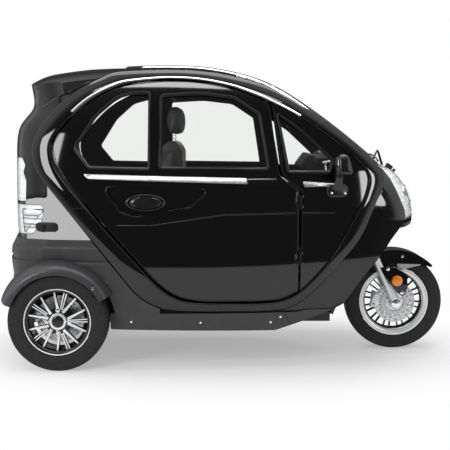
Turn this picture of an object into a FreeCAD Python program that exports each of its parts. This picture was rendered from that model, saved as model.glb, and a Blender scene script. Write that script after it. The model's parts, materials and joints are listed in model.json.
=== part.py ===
import FreeCAD, Part
import math
import os

import Sketcher
from FreeCAD import Placement, Rotation, Vector

# Three wheeled electric car: two wheels behind, one steered wheel in a raked fork in front.
# +X is forward, +Y is the car's left and +Z is up; the ground is z = 0. Right-hand pieces
# are modelled and left-hand ones are their mirror images in the XZ plane.

doc = FreeCAD.newDocument("three_wheeled_car")

# Driving dimensions, in millimetres and degrees
DRIVING = {
    "wheelbase": 1745,
    "rear_axle_setback": 851,
    "rear_track": 900,
    "rear_tyre_radius": 248,
    "rear_tyre_width": 140,
    "rear_flange_radius": 167,
    "front_tyre_radius": 262,
    "front_tyre_width": 120,
    "front_flange_radius": 187,
    "rim_wall": 6,
    "lug_circle_radius": 56,
    "lug_hole_radius": 6.5,
    "spindle_radius": 15,
    "running_fit": 0.05,
    "side_half_width": 490,
    "side_plan_radius": 4400,
    "side_section_radius": 2100,
    "side_crest_setback": 276,
    "side_crest_height": 700,
    "ring_stand": 12,
    "wall": 40,
    "skin": 22,
    "glass_wall": 5,
    "door_gap": 12,
    "hinge_setback": 344,
    "hinge_reach": 447,
    "hinge_pin_radius": 3,
    "hinge_wall": 3,
    "knuckle_length": 36,
    "lug_length": 14,
    "plan_radius_nose": 700,
    "plan_radius_tail": 1200,
    "roof_drop": 44,
    "screen_drop": 29,
    "bumper_top": 650,
    "floor_height": 250,
    "floor_wall": 12,
    "deck_height": 528,
    "arch_clearance": 30,
    "flare_reach": 537,
    "steering_rake": 24.7,
    "fork_offset": 35,
    "fork_spread": 102,
    "fork_leg_radius": 21,
    "fork_leg_length": 322,
    "stem_radius": 16,
    "stem_length": 850,
    "head_start": 330,
    "head_length": 250,
    "head_wall": 9,
    "fender_gap": 18,
    "fender_wall": 4,
    "disc_radius": 110,
    "disc_wall": 5,
    "handlebar_reach": 285,
    "grip_radius": 11.1,
    "seat_half_width": 225,
    "seat_top": 640,
    "bench_half_width": 345,
    "bench_top": 690,
    "rail_size": 50,
    "rail_spread": 240,
    "beam_radius": 28,
    "leaf_wall": 7,
    "hub_core_radius": 30,
}

sheet = doc.addObject("Spreadsheet::Sheet", "Sizes")
for row, (alias, size) in enumerate(DRIVING.items(), start=1):
    sheet.set("A%d" % row, alias)
    sheet.set("B%d" % row, str(size))
    sheet.setAlias("B%d" % row, alias)
doc.recompute()


def value(formula):
    """Number that a formula over the sheet's names gives."""
    return float(sheet.evalExpression(str(formula).replace("Sizes.", "")))


size = {alias: float(sheet.get(alias)) for alias in DRIVING}
rear_axle_x = -size["rear_axle_setback"]
front_axle_x = size["wheelbase"] - size["rear_axle_setback"]
half_width = size["side_half_width"]
wall = size["wall"]
skin = size["skin"]
ring_stand = size["ring_stand"]
FAR = 3000.0
SEAT_GAP = 0.3
REAR_WALL = 30.0
HINGE_SLACK = 0.4
HINGE_HEIGHTS = (560, 840)

NODES = {}


def keep(name, thing):
    """Give a finished document object the name of its part."""
    thing.Label = name
    NODES[name] = thing
    return thing


def keep_shape(name, shape):
    """Finished part whose shape is worked out in code."""
    thing = doc.addObject("Part::Feature", name)
    thing.Shape = shape
    thing.Placement = Placement()
    return keep(name, thing)


def keep_pair(stem, shape):
    """A right-hand part and its mirror image on the left."""
    right = keep_shape(stem + "_right", shape)
    left = doc.addObject("Part::Mirroring", stem + "_left")
    left.Source = right
    left.Normal = Vector(0, 1, 0)
    return right, keep(stem + "_left", left)


# Outlines and solids cut from them


def wire_of(corners):
    """Closed side-view outline from (x, z) or (x, z, radius) corners."""
    count = len(corners)
    edges = []
    spots = []
    for index, corner in enumerate(corners):
        here = Vector(corner[0], 0, corner[1])
        radius = corner[2] if len(corner) > 2 else 0
        if not radius:
            spots.append((here, here, None))
            continue
        before = corners[index - 1]
        after = corners[(index + 1) % count]
        to_before = (Vector(before[0], 0, before[1]) - here).normalize()
        to_after = (Vector(after[0], 0, after[1]) - here).normalize()
        half_angle = math.acos(max(-1, min(1, to_before.dot(to_after)))) / 2
        run = radius / math.tan(half_angle)
        middle = (to_before + to_after).normalize()
        top = here + middle * (radius / math.sin(half_angle) - radius)
        spots.append((here + to_before * run, here + to_after * run, top))
    for index, (start, end, top) in enumerate(spots):
        if top is not None:
            edges.append(Part.Arc(start, top, end).toShape())
        following = spots[(index + 1) % count][0]
        if end.distanceToPoint(following) > 1e-6:
            edges.append(Part.LineSegment(end, following).toShape())
    return Part.Wire(edges)


def loop_curve(points):
    """Smooth closed side-view curve through (x, z) points."""
    curve = Part.BSplineCurve()
    curve.interpolate(Points=[Vector(x, 0, z) for x, z in points], PeriodicFlag=True)
    return curve


def inset(points, distance):
    """Points of a closed loop moved inward by a distance."""
    curve = loop_curve(points)
    middle_x = sum(x for x, z in points) / len(points)
    middle_z = sum(z for x, z in points) / len(points)
    moved = []
    for x, z in points:
        here = Vector(x, 0, z)
        along = curve.tangent(curve.parameter(here))[0]
        across = Vector(-along.z, 0, along.x)
        if across.dot(Vector(middle_x, 0, middle_z) - here) < 0:
            across = across * -1
        moved.append((x + across.x * distance, z + across.z * distance))
    return moved


def prism(wire, y_from=-FAR / 3, y_to=0.0):
    """Solid that a side-view outline sweeps across the car."""
    face = Part.Face(wire)
    face.translate(Vector(0, y_from, 0))
    return face.extrude(Vector(0, y_to - y_from, 0))


def loop_prism(points, y_from=-FAR / 3, y_to=0.0):
    return prism(Part.Wire([loop_curve(points).toShape()]), y_from, y_to)


def block(x_from, x_to, y_from, y_to, z_from, z_to):
    return Part.makeBox(x_to - x_from, y_to - y_from, z_to - z_from, Vector(x_from, y_from, z_from))


# The sides are surfaces curved in plan and in section

SIDE_X = (-1260.0, 1180.0)
SIDE_Z = (150.0, 1640.0)
SIDE_STEPS = 10
side_axis_y = size["side_plan_radius"] - half_width


def side_y(x, z, offset=0.0):
    """Half width of the car at a place on its side surface."""
    radius = size["side_section_radius"]
    height = z - size["side_crest_height"]
    reach = size["side_plan_radius"] - radius + math.sqrt((radius + offset) ** 2 - height ** 2)
    along = x + size["side_crest_setback"]
    return math.sqrt(reach ** 2 - along ** 2) - side_axis_y


def steps(limits, count):
    """Evenly spaced values from one limit to the other."""
    return [limits[0] + (limits[1] - limits[0]) * step / count for step in range(count + 1)]


def side_face(offset):
    """Right side surface at an offset; minus is inward."""
    rows = []
    for x in steps(SIDE_X, SIDE_STEPS):
        rows.append([Vector(x, -side_y(x, z, offset), z) for z in steps(SIDE_Z, SIDE_STEPS)])
    surface = Part.BSplineSurface()
    surface.interpolate(rows)
    return surface.toShape()


def solid_between(one, other):
    """Solid between two faces whose edges match one to one."""
    sides = [Part.makeRuledSurface(first, second) for first, second in zip(one.Edges, other.Edges)]
    shell = Part.Shell([one, other] + sides)
    shell.sewShape()
    solid = Part.Solid(shell)
    if solid.Volume < 0:
        solid.reverse()
    return solid


def common_of(zone, *bodies):
    """Part of a zone that lies inside every body."""
    for body in bodies:
        zone = zone.common(body)
    return zone


def mirrored(shape):
    return shape.mirror(Vector(0, 0, 0), Vector(0, 1, 0))


def side_slab(outer, inner):
    """Curved wall of the right side between two offsets."""
    return solid_between(side_face(outer), side_face(inner))


def between_sides(offset):
    """Everything between the two side surfaces at an offset."""
    return solid_between(side_face(offset), mirrored(side_face(offset)))


# The top, nose and tail are surfaces swept along centre lines, dropping towards the sides


def centre_curve(points):
    curve = Part.BSplineCurve()
    curve.interpolate([Vector(x, 0, z) for x, z in points])
    return curve


TOP_LINE = centre_curve([
    (-1200, 1300), (-1110, 1374), (-1040, 1427), (-985, 1460), (-900, 1484), (-790, 1500), (-640, 1515),
    (-500, 1525), (-347, 1528), (-160, 1523), (12, 1497), (189, 1443), (376, 1338), (535, 1224),
    (652, 1132), (752, 1046), (805, 990), (850, 925),
])
TAIL_LINE = centre_curve([
    (-1034, 1500), (-1034, 1400), (-1030, 1300), (-1072, 1245), (-1101, 1200), (-1113, 1150),
    (-1118, 1045), (-1121, 850), (-1118, 640),
])
NOSE_LINE = centre_curve([
    (740, 1008), (800, 1004), (855, 986), (893, 953), (940, 885), (967, 811), (975, 745), (966, 690),
])
BUMPER_LINE = centre_curve([
    (-1120, 690), (-1126, 650), (-1146, 610), (-1157, 560), (-1157, 500), (-1150, 400), (-1146, 320),
    (-1135, 240),
])
T_REACH = 1.30
T_COUNT = 15
S_COUNT = 30


def swept_surface(line, offset, place):
    """Surface through points that place() gives for each station and each share of the width."""
    rows = []
    for row in range(S_COUNT + 1):
        share = line.FirstParameter + (line.LastParameter - line.FirstParameter) * row / S_COUNT
        here = line.value(share)
        along = line.tangent(share)[0]
        normal = Vector(-along.z, 0, along.x)
        points = []
        for column in range(T_COUNT):
            across = -T_REACH + 2 * T_REACH * column / (T_COUNT - 1)
            points.append(place(here, normal, across) - normal * offset)
        rows.append(points)
    surface = Part.BSplineSurface()
    surface.interpolate(rows)
    return surface.toShape()


def steep(across, power):
    """Power of the share of the width, going on straight past the edge."""
    share = abs(across)
    if share <= 1:
        return share ** power
    return 1 + power * (share - 1)


def top_place(here, normal, across):
    width = side_y(here.x, here.z - size["roof_drop"]) - wall
    slope = min(1.0, max(0.0, (here.x + 200) / 900.0))
    slope = slope * slope * (3 - 2 * slope)
    drop = size["roof_drop"] + (size["screen_drop"] - size["roof_drop"]) * slope
    moved = here - normal * (drop * (0.6 * across ** 2 + 0.4 * steep(across, 5)))
    return Vector(moved.x, across * width, moved.z)


def tail_place(here, normal, across):
    width = side_y(-1020, here.z)
    bulge = (across * width) ** 2 / (2 * size["plan_radius_tail"]) + 80 * steep(across, 8)
    return Vector(here.x + bulge, across * width, here.z)


def nose_place(here, normal, across):
    width = side_y(850, here.z)
    bulge = (across * width) ** 2 / (2 * size["plan_radius_nose"]) + 45 * steep(across, 7)
    return Vector(here.x - bulge, across * width, here.z - 10 * across ** 2)


def thick_skin(line, place, outer, inner):
    """Sheet between two offsets of a swept surface."""
    return solid_between(swept_surface(line, outer, place), swept_surface(line, inner, place))


def under_top(offset):
    return swept_surface(TOP_LINE, offset, top_place).extrude(Vector(0, 0, -1500))


def before_tail(offset):
    return swept_surface(TAIL_LINE, offset, tail_place).extrude(Vector(750, 0, 0))


def before_bumper(offset):
    return swept_surface(BUMPER_LINE, offset, tail_place).extrude(Vector(1800, 0, 0))


def behind_nose(offset):
    return swept_surface(NOSE_LINE, offset, nose_place).extrude(Vector(-600, 0, 0))


def rail_point(x_share):
    """Edge of the top surface, where the ring's top edge runs."""
    span = TOP_LINE.LastParameter - TOP_LINE.FirstParameter
    share = TOP_LINE.FirstParameter + span * x_share
    here = TOP_LINE.value(share)
    along = TOP_LINE.tangent(share)[0]
    edge = top_place(here, Vector(-along.z, 0, along.x), 1.0)
    return (edge.x, edge.z)


# Outlines on the side surface
RAIL_SHARES = [0.36, 0.42, 0.48, 0.54, 0.60, 0.66, 0.72, 0.78, 0.84, 0.895]
RING_OUTER = [rail_point(share) for share in RAIL_SHARES] + [
    (762, 985), (776, 930), (742, 851), (656, 659), (566, 544), (486, 454), (389, 358), (300, 302),
    (190, 286), (10, 286), (-200, 288), (-324, 299), (-403, 330), (-460, 371), (-519, 439), (-600, 544),
    (-687, 653), (-779, 768), (-909, 925), (-962, 1002), (-981, 1090), (-963, 1164), (-914, 1237),
    (-841, 1321), (-743, 1395), (-640, 1446),
]
RING_INNER = [
    (-885, 1090), (-876, 1139), (-837, 1198), (-783, 1256), (-715, 1320), (-642, 1369), (-570, 1402),
    (-494, 1423), (-312, 1441), (-149, 1433), (-1, 1404), (97, 1370), (196, 1328), (344, 1252),
    (493, 1152), (594, 1072), (660, 1010), (689, 951), (675, 867), (625, 764), (545, 620), (484, 528),
    (404, 438), (330, 372), (263, 342), (191, 331), (13, 330), (-199, 340), (-280, 366), (-345, 411),
    (-400, 465), (-460, 533), (-587, 675), (-719, 824), (-795, 912), (-860, 1003),
]
DOOR_FRONT = [(160, 1420), (178, 1360), (198, 1276), (236, 985), (250, 955), (338, 890), (338, 290)]
CREASE = [(-529, 1600), (-529, 1440), (-635, 1449), (-700, 1425), (-848, 1357), (-989, 1297), (-1200, 1230)]

ROOF_SEAM = -529
SCREEN_TOP = 30
SILL_TOP = 279
NOSE_FOOT = 736

# Side ring: a closed band round the door opening, standing proud of the door
ring_band = loop_prism(RING_OUTER).cut(loop_prism(RING_INNER))
keep_pair("side_ring", side_slab(ring_stand, -wall).common(ring_band))
ring_outside = inset(RING_OUTER, -SEAT_GAP)
ring_core = loop_prism(ring_outside)
quarter_core = loop_prism(inset(RING_INNER, SEAT_GAP))
inner_core = loop_prism(inset(RING_INNER, size["door_gap"]))

# Door and fixed front quarter share the opening in the ring
door_edge = [(-1300, 1600)] + [(160, 1600)] + DOOR_FRONT + [(338, 100), (-1300, 100)]
door_side = prism(wire_of(door_edge))
gap = size["door_gap"]
quarter_edge = [(160 + gap, 1600)] + [(x + gap, z) for x, z in DOOR_FRONT] + [(338 + gap, 100)]
quarter_side = prism(wire_of(quarter_edge + [(1300, 100), (1300, 1600)]))

REAR_LIGHT = [
    (-393, 1374, 14), (-393, 994, 14), (-695, 1001, 30), (-771, 1100, 30), (-665, 1261, 120),
    (-560, 1352, 90), (-480, 1374, 60),
]
FRONT_LIGHT = [
    (-345, 1361, 24), (-347, 1000, 14), (192, 994, 16), (148, 1268, 30), (20, 1352, 90), (-149, 1372, 300),
]
FIXED_LIGHT = [(226, 1276, 8), (283, 980, 8), (495, 978, 18), (512, 1040, 20), (345, 1196, 60)]


def with_light(shape, corners):
    return shape.cut(prism(wire_of(corners)))


wall_slab = side_slab(0, -wall)
glass_slab = side_slab(-16, -16 - size["glass_wall"])
door = wall_slab.common(inner_core.common(door_side))
for light in (REAR_LIGHT, FRONT_LIGHT):
    door = with_light(door, light)

# Handle recess pressed into the door skin
RECESS = [(-626, 911, 20), (-105, 896, 12), (-196, 815, 30), (-460, 768, 60), (-536, 790, 30)]
HANDLE_CENTRE = (-413, 836)
recess_depth = 18
door = door.cut(side_slab(30, -recess_depth).common(prism(wire_of(RECESS))))

# Door hinges: a knuckle on the door between two lugs of the front quarter, on one pin
hinge_x = size["hinge_setback"]
hinge_y = -size["hinge_reach"]
pin_radius = size["hinge_pin_radius"]
barrel_radius = pin_radius + size["hinge_wall"]
knuckle_half = size["knuckle_length"] / 2
lug_end = knuckle_half + HINGE_SLACK + size["lug_length"]


def hinge_post(radius, z_from, z_to):
    return Part.makeCylinder(radius, z_to - z_from, Vector(hinge_x, hinge_y, z_from))


def hinge_leaf(x_from, x_to, z_from, z_to):
    """Plate that joins a barrel to the wall beside it."""
    return block(x_from, x_to, hinge_y - barrel_radius, hinge_y + barrel_radius + 10, z_from, z_to)


lugs = []
for height in HINGE_HEIGHTS:
    low = height - knuckle_half
    high = height + knuckle_half
    notch = block(hinge_x - 20, hinge_x + 20, -700, -300, height - lug_end - 4, height + lug_end + 4)
    knuckle = hinge_post(barrel_radius, low, high).fuse(hinge_leaf(hinge_x - 26, hinge_x, low, high))
    door = door.cut(notch).fuse(knuckle.cut(hinge_post(pin_radius + size["running_fit"], low - 1, high + 1)))
    lugs.append(hinge_post(pin_radius, height - lug_end, height + lug_end))
    for z_from, z_to in ((height - lug_end, low - HINGE_SLACK), (high + HINGE_SLACK, height + lug_end)):
        lugs.append(hinge_post(barrel_radius, z_from, z_to))
        lugs.append(hinge_leaf(hinge_x, hinge_x + 16, z_from, z_to))
keep_pair("door", door)
for stem, corners in (("rear_door_glass", REAR_LIGHT), ("front_door_glass", FRONT_LIGHT)):
    keep_pair(stem, glass_slab.common(prism(wire_of(corners))))

handle_x, handle_z = HANDLE_CENTRE
handle_cutter = Part.makeCylinder(1, 400, Vector(0, 0, 0), Vector(0, -1, 0))
stretch = FreeCAD.Matrix()
stretch.scale(105, 1, 44)
handle_cutter = handle_cutter.transformGeometry(stretch)
handle_cutter.translate(Vector(handle_x, -200, handle_z))
handle = side_slab(8, SEAT_GAP - recess_depth).common(handle_cutter)
keep_pair("door_handle", handle)

quarter = with_light(wall_slab.common(quarter_core.common(quarter_side)), FIXED_LIGHT)
keep_pair("front_quarter", quarter.fuse(lugs))
keep_pair("fixed_glass", glass_slab.common(prism(wire_of(FIXED_LIGHT))))

# Front wing: the side ahead of the ring's lower edge, over the wheel well
WING = [
    (900, 750), (812, 636, 30), (797, 611, 30), (736, 526), (676, 456), (577, 318), (350, 200), (100, 240),
    (300, 760),
]
wing_box = prism(wire_of(WING)).common(block(-1300, 1300, -700, 0, 290, NOSE_FOOT))
keep_pair("front_wing", side_slab(0, -30).common(wing_box).cut(ring_core))

# Sill skirt
SKIRT = [
    (-600, 193, 10), (227, 184, 60), (300, 208, 60), (404, 243), (510, 283), (577, 318), (560, 330),
    (330, SILL_TOP, 40), (-600, SILL_TOP, 10),
]
keep_pair("sill_skirt", side_slab(6, -24).common(prism(wire_of(SKIRT)).cut(ring_core).cut(wing_box)))

# Rear: tail skin with its window and lamps, side walls behind the ring, and a spoiler over them
WINDOW_TOP = 1350
WINDOW_FOOT = 1075
WINDOW_HALF = 265
PANEL_HALF = 285
LID_FOOT = 1200
full_width = between_sides(0)
side_skin = side_slab(0, -REAR_WALL)
ring_block = loop_prism(ring_outside, -700, -200)
crease_zone = prism(wire_of(CREASE + [(-1200, 1600)]), -700, 700)
tail_zone = block(-1300, -850, -700, 700, size["bumper_top"], 1600)
tail_skin = thick_skin(TAIL_LINE, tail_place, 0, -skin)
low_zone = tail_zone.common(block(-1300, 0, -700, 700, 0, LID_FOOT))
high_zone = tail_zone.common(block(-1300, 0, -700, 700, LID_FOOT, 1600))
low_tail = common_of(low_zone, tail_skin, full_width)
high_tail = common_of(high_zone, tail_skin, full_width, under_top(skin))
whole_tail = low_tail.fuse(high_tail).removeSplitter()
outer_zone = tail_zone.cut(block(-1400, 0, -PANEL_HALF, PANEL_HALF, 0, 2000))
tail_fins = whole_tail.common(outer_zone).common(crease_zone)
tail = whole_tail.cut(outer_zone.common(crease_zone))
side_zone = block(-1300, ROOF_SEAM, -700, 0, size["bumper_top"], 1600).cut(ring_block)
below_crease = side_zone.cut(crease_zone.translated(Vector(0, 0, -SEAT_GAP)))
side_wall = common_of(below_crease, side_skin, before_tail(-skin))
fin = common_of(side_zone.common(crease_zone), side_skin, before_tail(0), under_top(skin))
lid_zone = block(-1300, ROOF_SEAM, -700, 700, LID_FOOT, 1600)
lid = common_of(lid_zone, thick_skin(TOP_LINE, top_place, 0, skin), full_width, before_tail(0), crease_zone)
lid = lid.cut(ring_block).cut(mirrored(ring_block))
keep_shape("rear_spoiler", lid.fuse([fin, mirrored(fin), tail_fins]))
window_zone = block(-1300, -900, -WINDOW_HALF, WINDOW_HALF, WINDOW_FOOT, WINDOW_TOP)
TAIL_D = [(-1300, 820), (-925, 820, 10), (-919, 783, 30), (-940, 715, 40), (-985, 672, 30), (-1300, 662)]
TAIL_STRIP = [
    (-1300, 1052), (-1036, 1052, 10), (-1018, 1014), (-1030, 980), (-1012, 939), (-1016, 834, 10),
    (-1300, 834),
]
lamp_zone = prism(wire_of(TAIL_D), -700, -PANEL_HALF).fuse(prism(wire_of(TAIL_STRIP), -700, -PANEL_HALF))
corner = tail.common(block(-1300, -800, -700, -PANEL_HALF, 600, 1400)).fuse(side_wall).cut(ring_block)
keep_pair("tail_lamp", corner.common(lamp_zone))
keep_pair("rear_quarter", corner.cut(lamp_zone))
panel_zone = block(-1300, -900, -PANEL_HALF, PANEL_HALF, 600, 1400).cut(window_zone)
keep_shape("rear_panel", common_of(panel_zone, tail, under_top(skin + SEAT_GAP)))
rear_glass = thick_skin(TAIL_LINE, tail_place, 0, -size["glass_wall"])
keep_shape("rear_window", common_of(window_zone, rear_glass))

# Bumper wrapped round the tail, open over each wheel
arch_radius = size["rear_tyre_radius"] + size["arch_clearance"]
arch_centre = Vector(rear_axle_x, -FAR / 2, size["rear_tyre_radius"])
arch = Part.makeCylinder(arch_radius, FAR, arch_centre, Vector(0, 1, 0))
bumper_zone = block(-1300, -350, -700, 700, SILL_TOP, size["bumper_top"])
outer_bumper = common_of(bumper_zone, between_sides(8), before_bumper(0))
inner_bumper = common_of(bumper_zone, between_sides(-20), before_bumper(-skin))
bumper = outer_bumper.cut(inner_bumper).cut(arch).cut(ring_block).cut(mirrored(ring_block))
keep_shape("rear_bumper", bumper)

# Roof panel and windscreen between the two rings
inside_rings = between_sides(-wall - SEAT_GAP)
roof_zone = block(ROOF_SEAM, SCREEN_TOP, -700, 700, 1300, 1600)
keep_shape("roof_panel", common_of(roof_zone, thick_skin(TOP_LINE, top_place, 0, skin), inside_rings))
screen_zone = block(SCREEN_TOP, 900, -700, 700, 1009, 1600)
screen_skin = thick_skin(TOP_LINE, top_place, 0, size["glass_wall"])
keep_shape("windscreen", common_of(screen_zone, screen_skin, inside_rings))

# Nose: hood, cheeks and the lamps let into its corners
nose_zone = block(560, 1100, -700, 700, NOSE_FOOT, 1008)
outer_nose = common_of(nose_zone, between_sides(0), behind_nose(0))
inner_nose = common_of(nose_zone, between_sides(-30), behind_nose(skin))
nose = outer_nose.cut(inner_nose).cut(ring_block).cut(mirrored(ring_block))
HEAD_LAMP = [
    (762, 1100), (770, 1000), (811, 945), (848, 868), (885, 790), (893, 744), (1100, 744), (1100, 1100),
]
head_zone = prism(wire_of(HEAD_LAMP), -700, -120)
keep_pair("head_lamp", nose.common(head_zone))
hood = nose.cut(head_zone.fuse(mirrored(head_zone)))
keep_shape("nose_panel", hood.common(block(700, 1100, -700, 700, 700, 1100)))


def sketch_on(body, role, name, points):
    """Closed polygon sketch whose corners follow formulas over the sheet."""
    plane = [feature for feature in body.Origin.OriginFeatures if feature.Role == role][0]
    sketch = body.newObject("Sketcher::SketchObject", name)
    sketch.AttachmentSupport = [(plane, "")]
    sketch.MapMode = "FlatFace"
    if points:
        add_polygon(sketch, points)
    return sketch


def add_polygon(sketch, points):
    count = len(points)
    first = len(sketch.Geometry)
    spots = [Vector(value(across), value(up), 0) for across, up in points]
    lines = [Part.LineSegment(spots[index], spots[(index + 1) % count]) for index in range(count)]
    sketch.addGeometry(lines)
    for index in range(count):
        following = first + (index + 1) % count
        sketch.addConstraint(Sketcher.Constraint("Coincident", first + index, 2, following, 1))
    for index, (across, up) in enumerate(points):
        for kind, formula in (("DistanceX", across), ("DistanceY", up)):
            size_now = value(formula)
            number = sketch.addConstraint(Sketcher.Constraint(kind, -1, 1, first + index, 1, size_now))
            if "Sizes." in str(formula):
                sketch.setExpression("Constraints[%d]" % number, formula)


def place(thing, x, y, z, rotation=None):
    """Bind an object's place to formulas over the sheet."""
    if rotation is not None:
        thing.Placement = Placement(Vector(0, 0, 0), rotation)
    for axis, formula in (("x", x), ("y", y), ("z", z)):
        thing.setExpression("Placement.Base." + axis, str(formula))


def turned(name, points):
    """Body of revolution about its own Z axis from (radius, height) corners."""
    body = doc.addObject("PartDesign::Body", name)
    sketch = sketch_on(body, "XZ_Plane", name + "_section", points)
    turn = body.newObject("PartDesign::Revolution", name + "_turn")
    turn.Profile = sketch
    turn.ReferenceAxis = (sketch, ["V_Axis"])
    turn.Angle = 360
    return body


# Wheels are turned about their own Z axis, +Z outboard, then laid on their side
FACE_RIGHT = Rotation(Vector(1, 0, 0), 90)
FACE_LEFT = Rotation(Vector(1, 0, 0), -90)


TYRE_SIDES = 48
TYRE_OUTSIDE = [(1.00, 0.70), (0.95, 0.86), (0.74, 0.97), (0.40, 1.00), (0.37, 0.955), (0.27, 0.955), (0.24, 1.00)]
TYRE_INSIDE = [(1.00, 0.55), (0.93, 0.28), (0.80, 0.00)]


def faceted_loft(name, rings):
    """Solid of flat facets through regular polygons at (radius, height)."""
    polygons = []
    for index, (radius, height) in enumerate(rings):
        polygon = doc.addObject("Part::RegularPolygon", "%s_%d" % (name, index))
        polygon.Polygon = TYRE_SIDES
        polygon.setExpression("Circumradius", radius)
        polygon.setExpression("Placement.Base.z", height)
        polygons.append(polygon)
    loft = doc.addObject("Part::Loft", name)
    loft.Sections = polygons
    loft.Solid = True
    loft.Ruled = True
    return loft


def tyre_rings(section, tread, bead, half):
    """Polygons of a tyre's section from its right shoulder to its left one."""
    shares = section + [(-out, up) for out, up in reversed(section)]
    return [("%s + (%s - %s) * %s" % (bead, tread, bead, up), "%s * %s" % (half, out)) for out, up in shares]


def faceted_tyre(name, radius, width, flange):
    """Tyre with two grooves round its tread, in flat facets that clear the rim."""
    tread = "Sizes.%s" % radius
    bead = "(Sizes.%s + %s) / cos(%s)" % (flange, SEAT_GAP, 180 / TYRE_SIDES)
    half = "Sizes.%s / 2" % width
    tyre = doc.addObject("Part::Cut", name)
    tyre.Base = faceted_loft(name + "_outside", tyre_rings(TYRE_OUTSIDE, tread, bead, half))
    tyre.Tool = faceted_loft(name + "_inside", tyre_rings(TYRE_INSIDE, tread, bead, half))
    return tyre


def rim_section(width, flange):
    """Barrel with two flanges, bead seats and a drop centre."""
    wall_size = "Sizes.rim_wall"
    outer = [(0, 0.82), (0, 0.70), (-14, 0.66), (-15, 0.30), (-30, 0.18), (-30, -0.20), (-15, -0.34)]
    outer += [(-14, -0.66), (0, -0.70), (0, -0.82)]
    points = [("Sizes.%s + %s" % (flange, rise), "Sizes.%s / 2 * %s" % (width, out)) for rise, out in outer]
    inner = [
        ("Sizes.%s + %s - %s" % (flange, rise, wall_size), "Sizes.%s / 2 * %s" % (width, out))
        for rise, out in reversed(outer)
    ]
    inner[0] = ("Sizes.%s - %s" % (flange, wall_size), "Sizes.%s / 2 * -0.82" % width)
    return points + inner


def add_pad(body, name, points, height, length):
    sketch = sketch_on(body, "XY_Plane", name + "_sketch", points)
    sketch.AttachmentOffset = Placement(Vector(0, 0, height), Rotation())
    pad = body.newObject("PartDesign::Pad", name)
    pad.Profile = sketch
    pad.Length = length
    return pad


def bar(angle_in, angle_out, radius_in, radius_out, thick_in, thick_out):
    """Corners of a straight spoke bar between two polar places."""
    start = Vector(radius_in * math.cos(angle_in), radius_in * math.sin(angle_in), 0)
    end = Vector(radius_out * math.cos(angle_out), radius_out * math.sin(angle_out), 0)
    across = (end - start).cross(Vector(0, 0, 1)).normalize()
    corners = [start + across * thick_in, end + across * thick_out]
    corners += [end - across * thick_out, start - across * thick_in]
    return [(corner.x, corner.y) for corner in corners]


def circle_sketch(body, name, height, circles):
    """Sketch of circles at (across, up, radius), each a formula over the sheet."""
    sketch = sketch_on(body, "XY_Plane", name, [])
    sketch.AttachmentOffset = Placement(Vector(0, 0, height), Rotation())
    for index, (across, up, radius) in enumerate(circles):
        middle = Vector(value(across), value(up), 0)
        sketch.addGeometry(Part.Circle(middle, Vector(0, 0, 1), value(radius)))
        number = sketch.addConstraint(Sketcher.Constraint("Radius", index, value(radius)))
        if "Sizes." in str(radius):
            sketch.setExpression("Constraints[%d]" % number, radius)
        for kind, formula in (("DistanceX", across), ("DistanceY", up)):
            number = sketch.addConstraint(Sketcher.Constraint(kind, -1, 1, index, 3, value(formula)))
            if "Sizes." in str(formula):
                sketch.setExpression("Constraints[%d]" % number, formula)
    return sketch


def round_pad(body, name, height, length, radius):
    pad = body.newObject("PartDesign::Pad", name)
    pad.Profile = circle_sketch(body, name + "_sketch", height, [("0", "0", radius)])
    pad.Length = length
    return pad


def round_pocket(body, name, circles):
    """Holes cut right through the wheel, from its inboard side out."""
    pocket = body.newObject("PartDesign::Pocket", name)
    pocket.Profile = circle_sketch(body, name + "_sketch", -HUB_REACH, circles)
    pocket.Reversed = True
    pocket.Length = 2 * HUB_REACH
    body.Tip = pocket
    return pocket


HUB_REACH = 90
HUB_DROP = 14
LUG_HOLES = [
    ("Sizes.lug_circle_radius * %d" % across, "Sizes.lug_circle_radius * %d" % up, "Sizes.lug_hole_radius")
    for across, up in ((1, 0), (0, 1), (-1, 0), (0, -1))
]


def alloy_rim(name, width, flange, hub_radius, groups, bars, depth, height, core_from, core_to):
    """Cast wheel: turned barrel, hub disc and a repeated group of spoke bars."""
    body = turned(name, rim_section(width, flange))
    hub = round_pad(body, name + "_hub", height - HUB_DROP, depth + HUB_DROP, hub_radius)
    round_pad(body, name + "_core", core_from, core_to - core_from, "Sizes.hub_core_radius")
    reach = size[flange] - size["rim_wall"] - 10
    inner = value(hub_radius) - 8
    originals = []
    for number, (start, end, thick_in, thick_out) in enumerate(bars):
        corners = bar(math.radians(start), math.radians(end), inner, reach, thick_in, thick_out)
        spoke = add_pad(body, "%s_spoke_%d" % (name, number), corners, height, depth)
        originals.append(spoke)
    pattern = body.newObject("PartDesign::PolarPattern", name + "_spokes")
    pattern.Originals = originals
    pattern.Axis = (hub.Profile[0], ["N_Axis"])
    pattern.Angle = 360
    pattern.Occurrences = groups
    body.Tip = pattern
    doc.recompute()
    round_pocket(body, name + "_bore", [("0", "0", "Sizes.spindle_radius + Sizes.running_fit")])
    return body


REAR_BARS = [(-7, -4.2, 5.5, 5.0), (7, 4.2, 5.5, 5.0), (-22, -27, 7.0, 6.0), (22, 27, 7.0, 6.0)]
FRONT_BARS = [(-3, -5, 5.0, 4.0), (9, 13, 4.5, 3.5)]
for side, facing, sign in (("right", FACE_RIGHT, "-"), ("left", FACE_LEFT, "")):
    tyre = faceted_tyre("rear_tyre_" + side, "rear_tyre_radius", "rear_tyre_width", "rear_flange_radius")
    name = "rear_rim_" + side
    hub_radius = "Sizes.lug_circle_radius + 16"
    rim = alloy_rim(name, "rear_tyre_width", "rear_flange_radius", hub_radius, 5, REAR_BARS, 20, 22, -68, 40)
    doc.recompute()
    round_pocket(rim, name + "_lug_holes", LUG_HOLES)
    for thing in (tyre, rim):
        place(thing, "-Sizes.rear_axle_setback", sign + "Sizes.rear_track / 2", "Sizes.rear_tyre_radius", facing)
        keep(thing.Name, thing)

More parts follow.
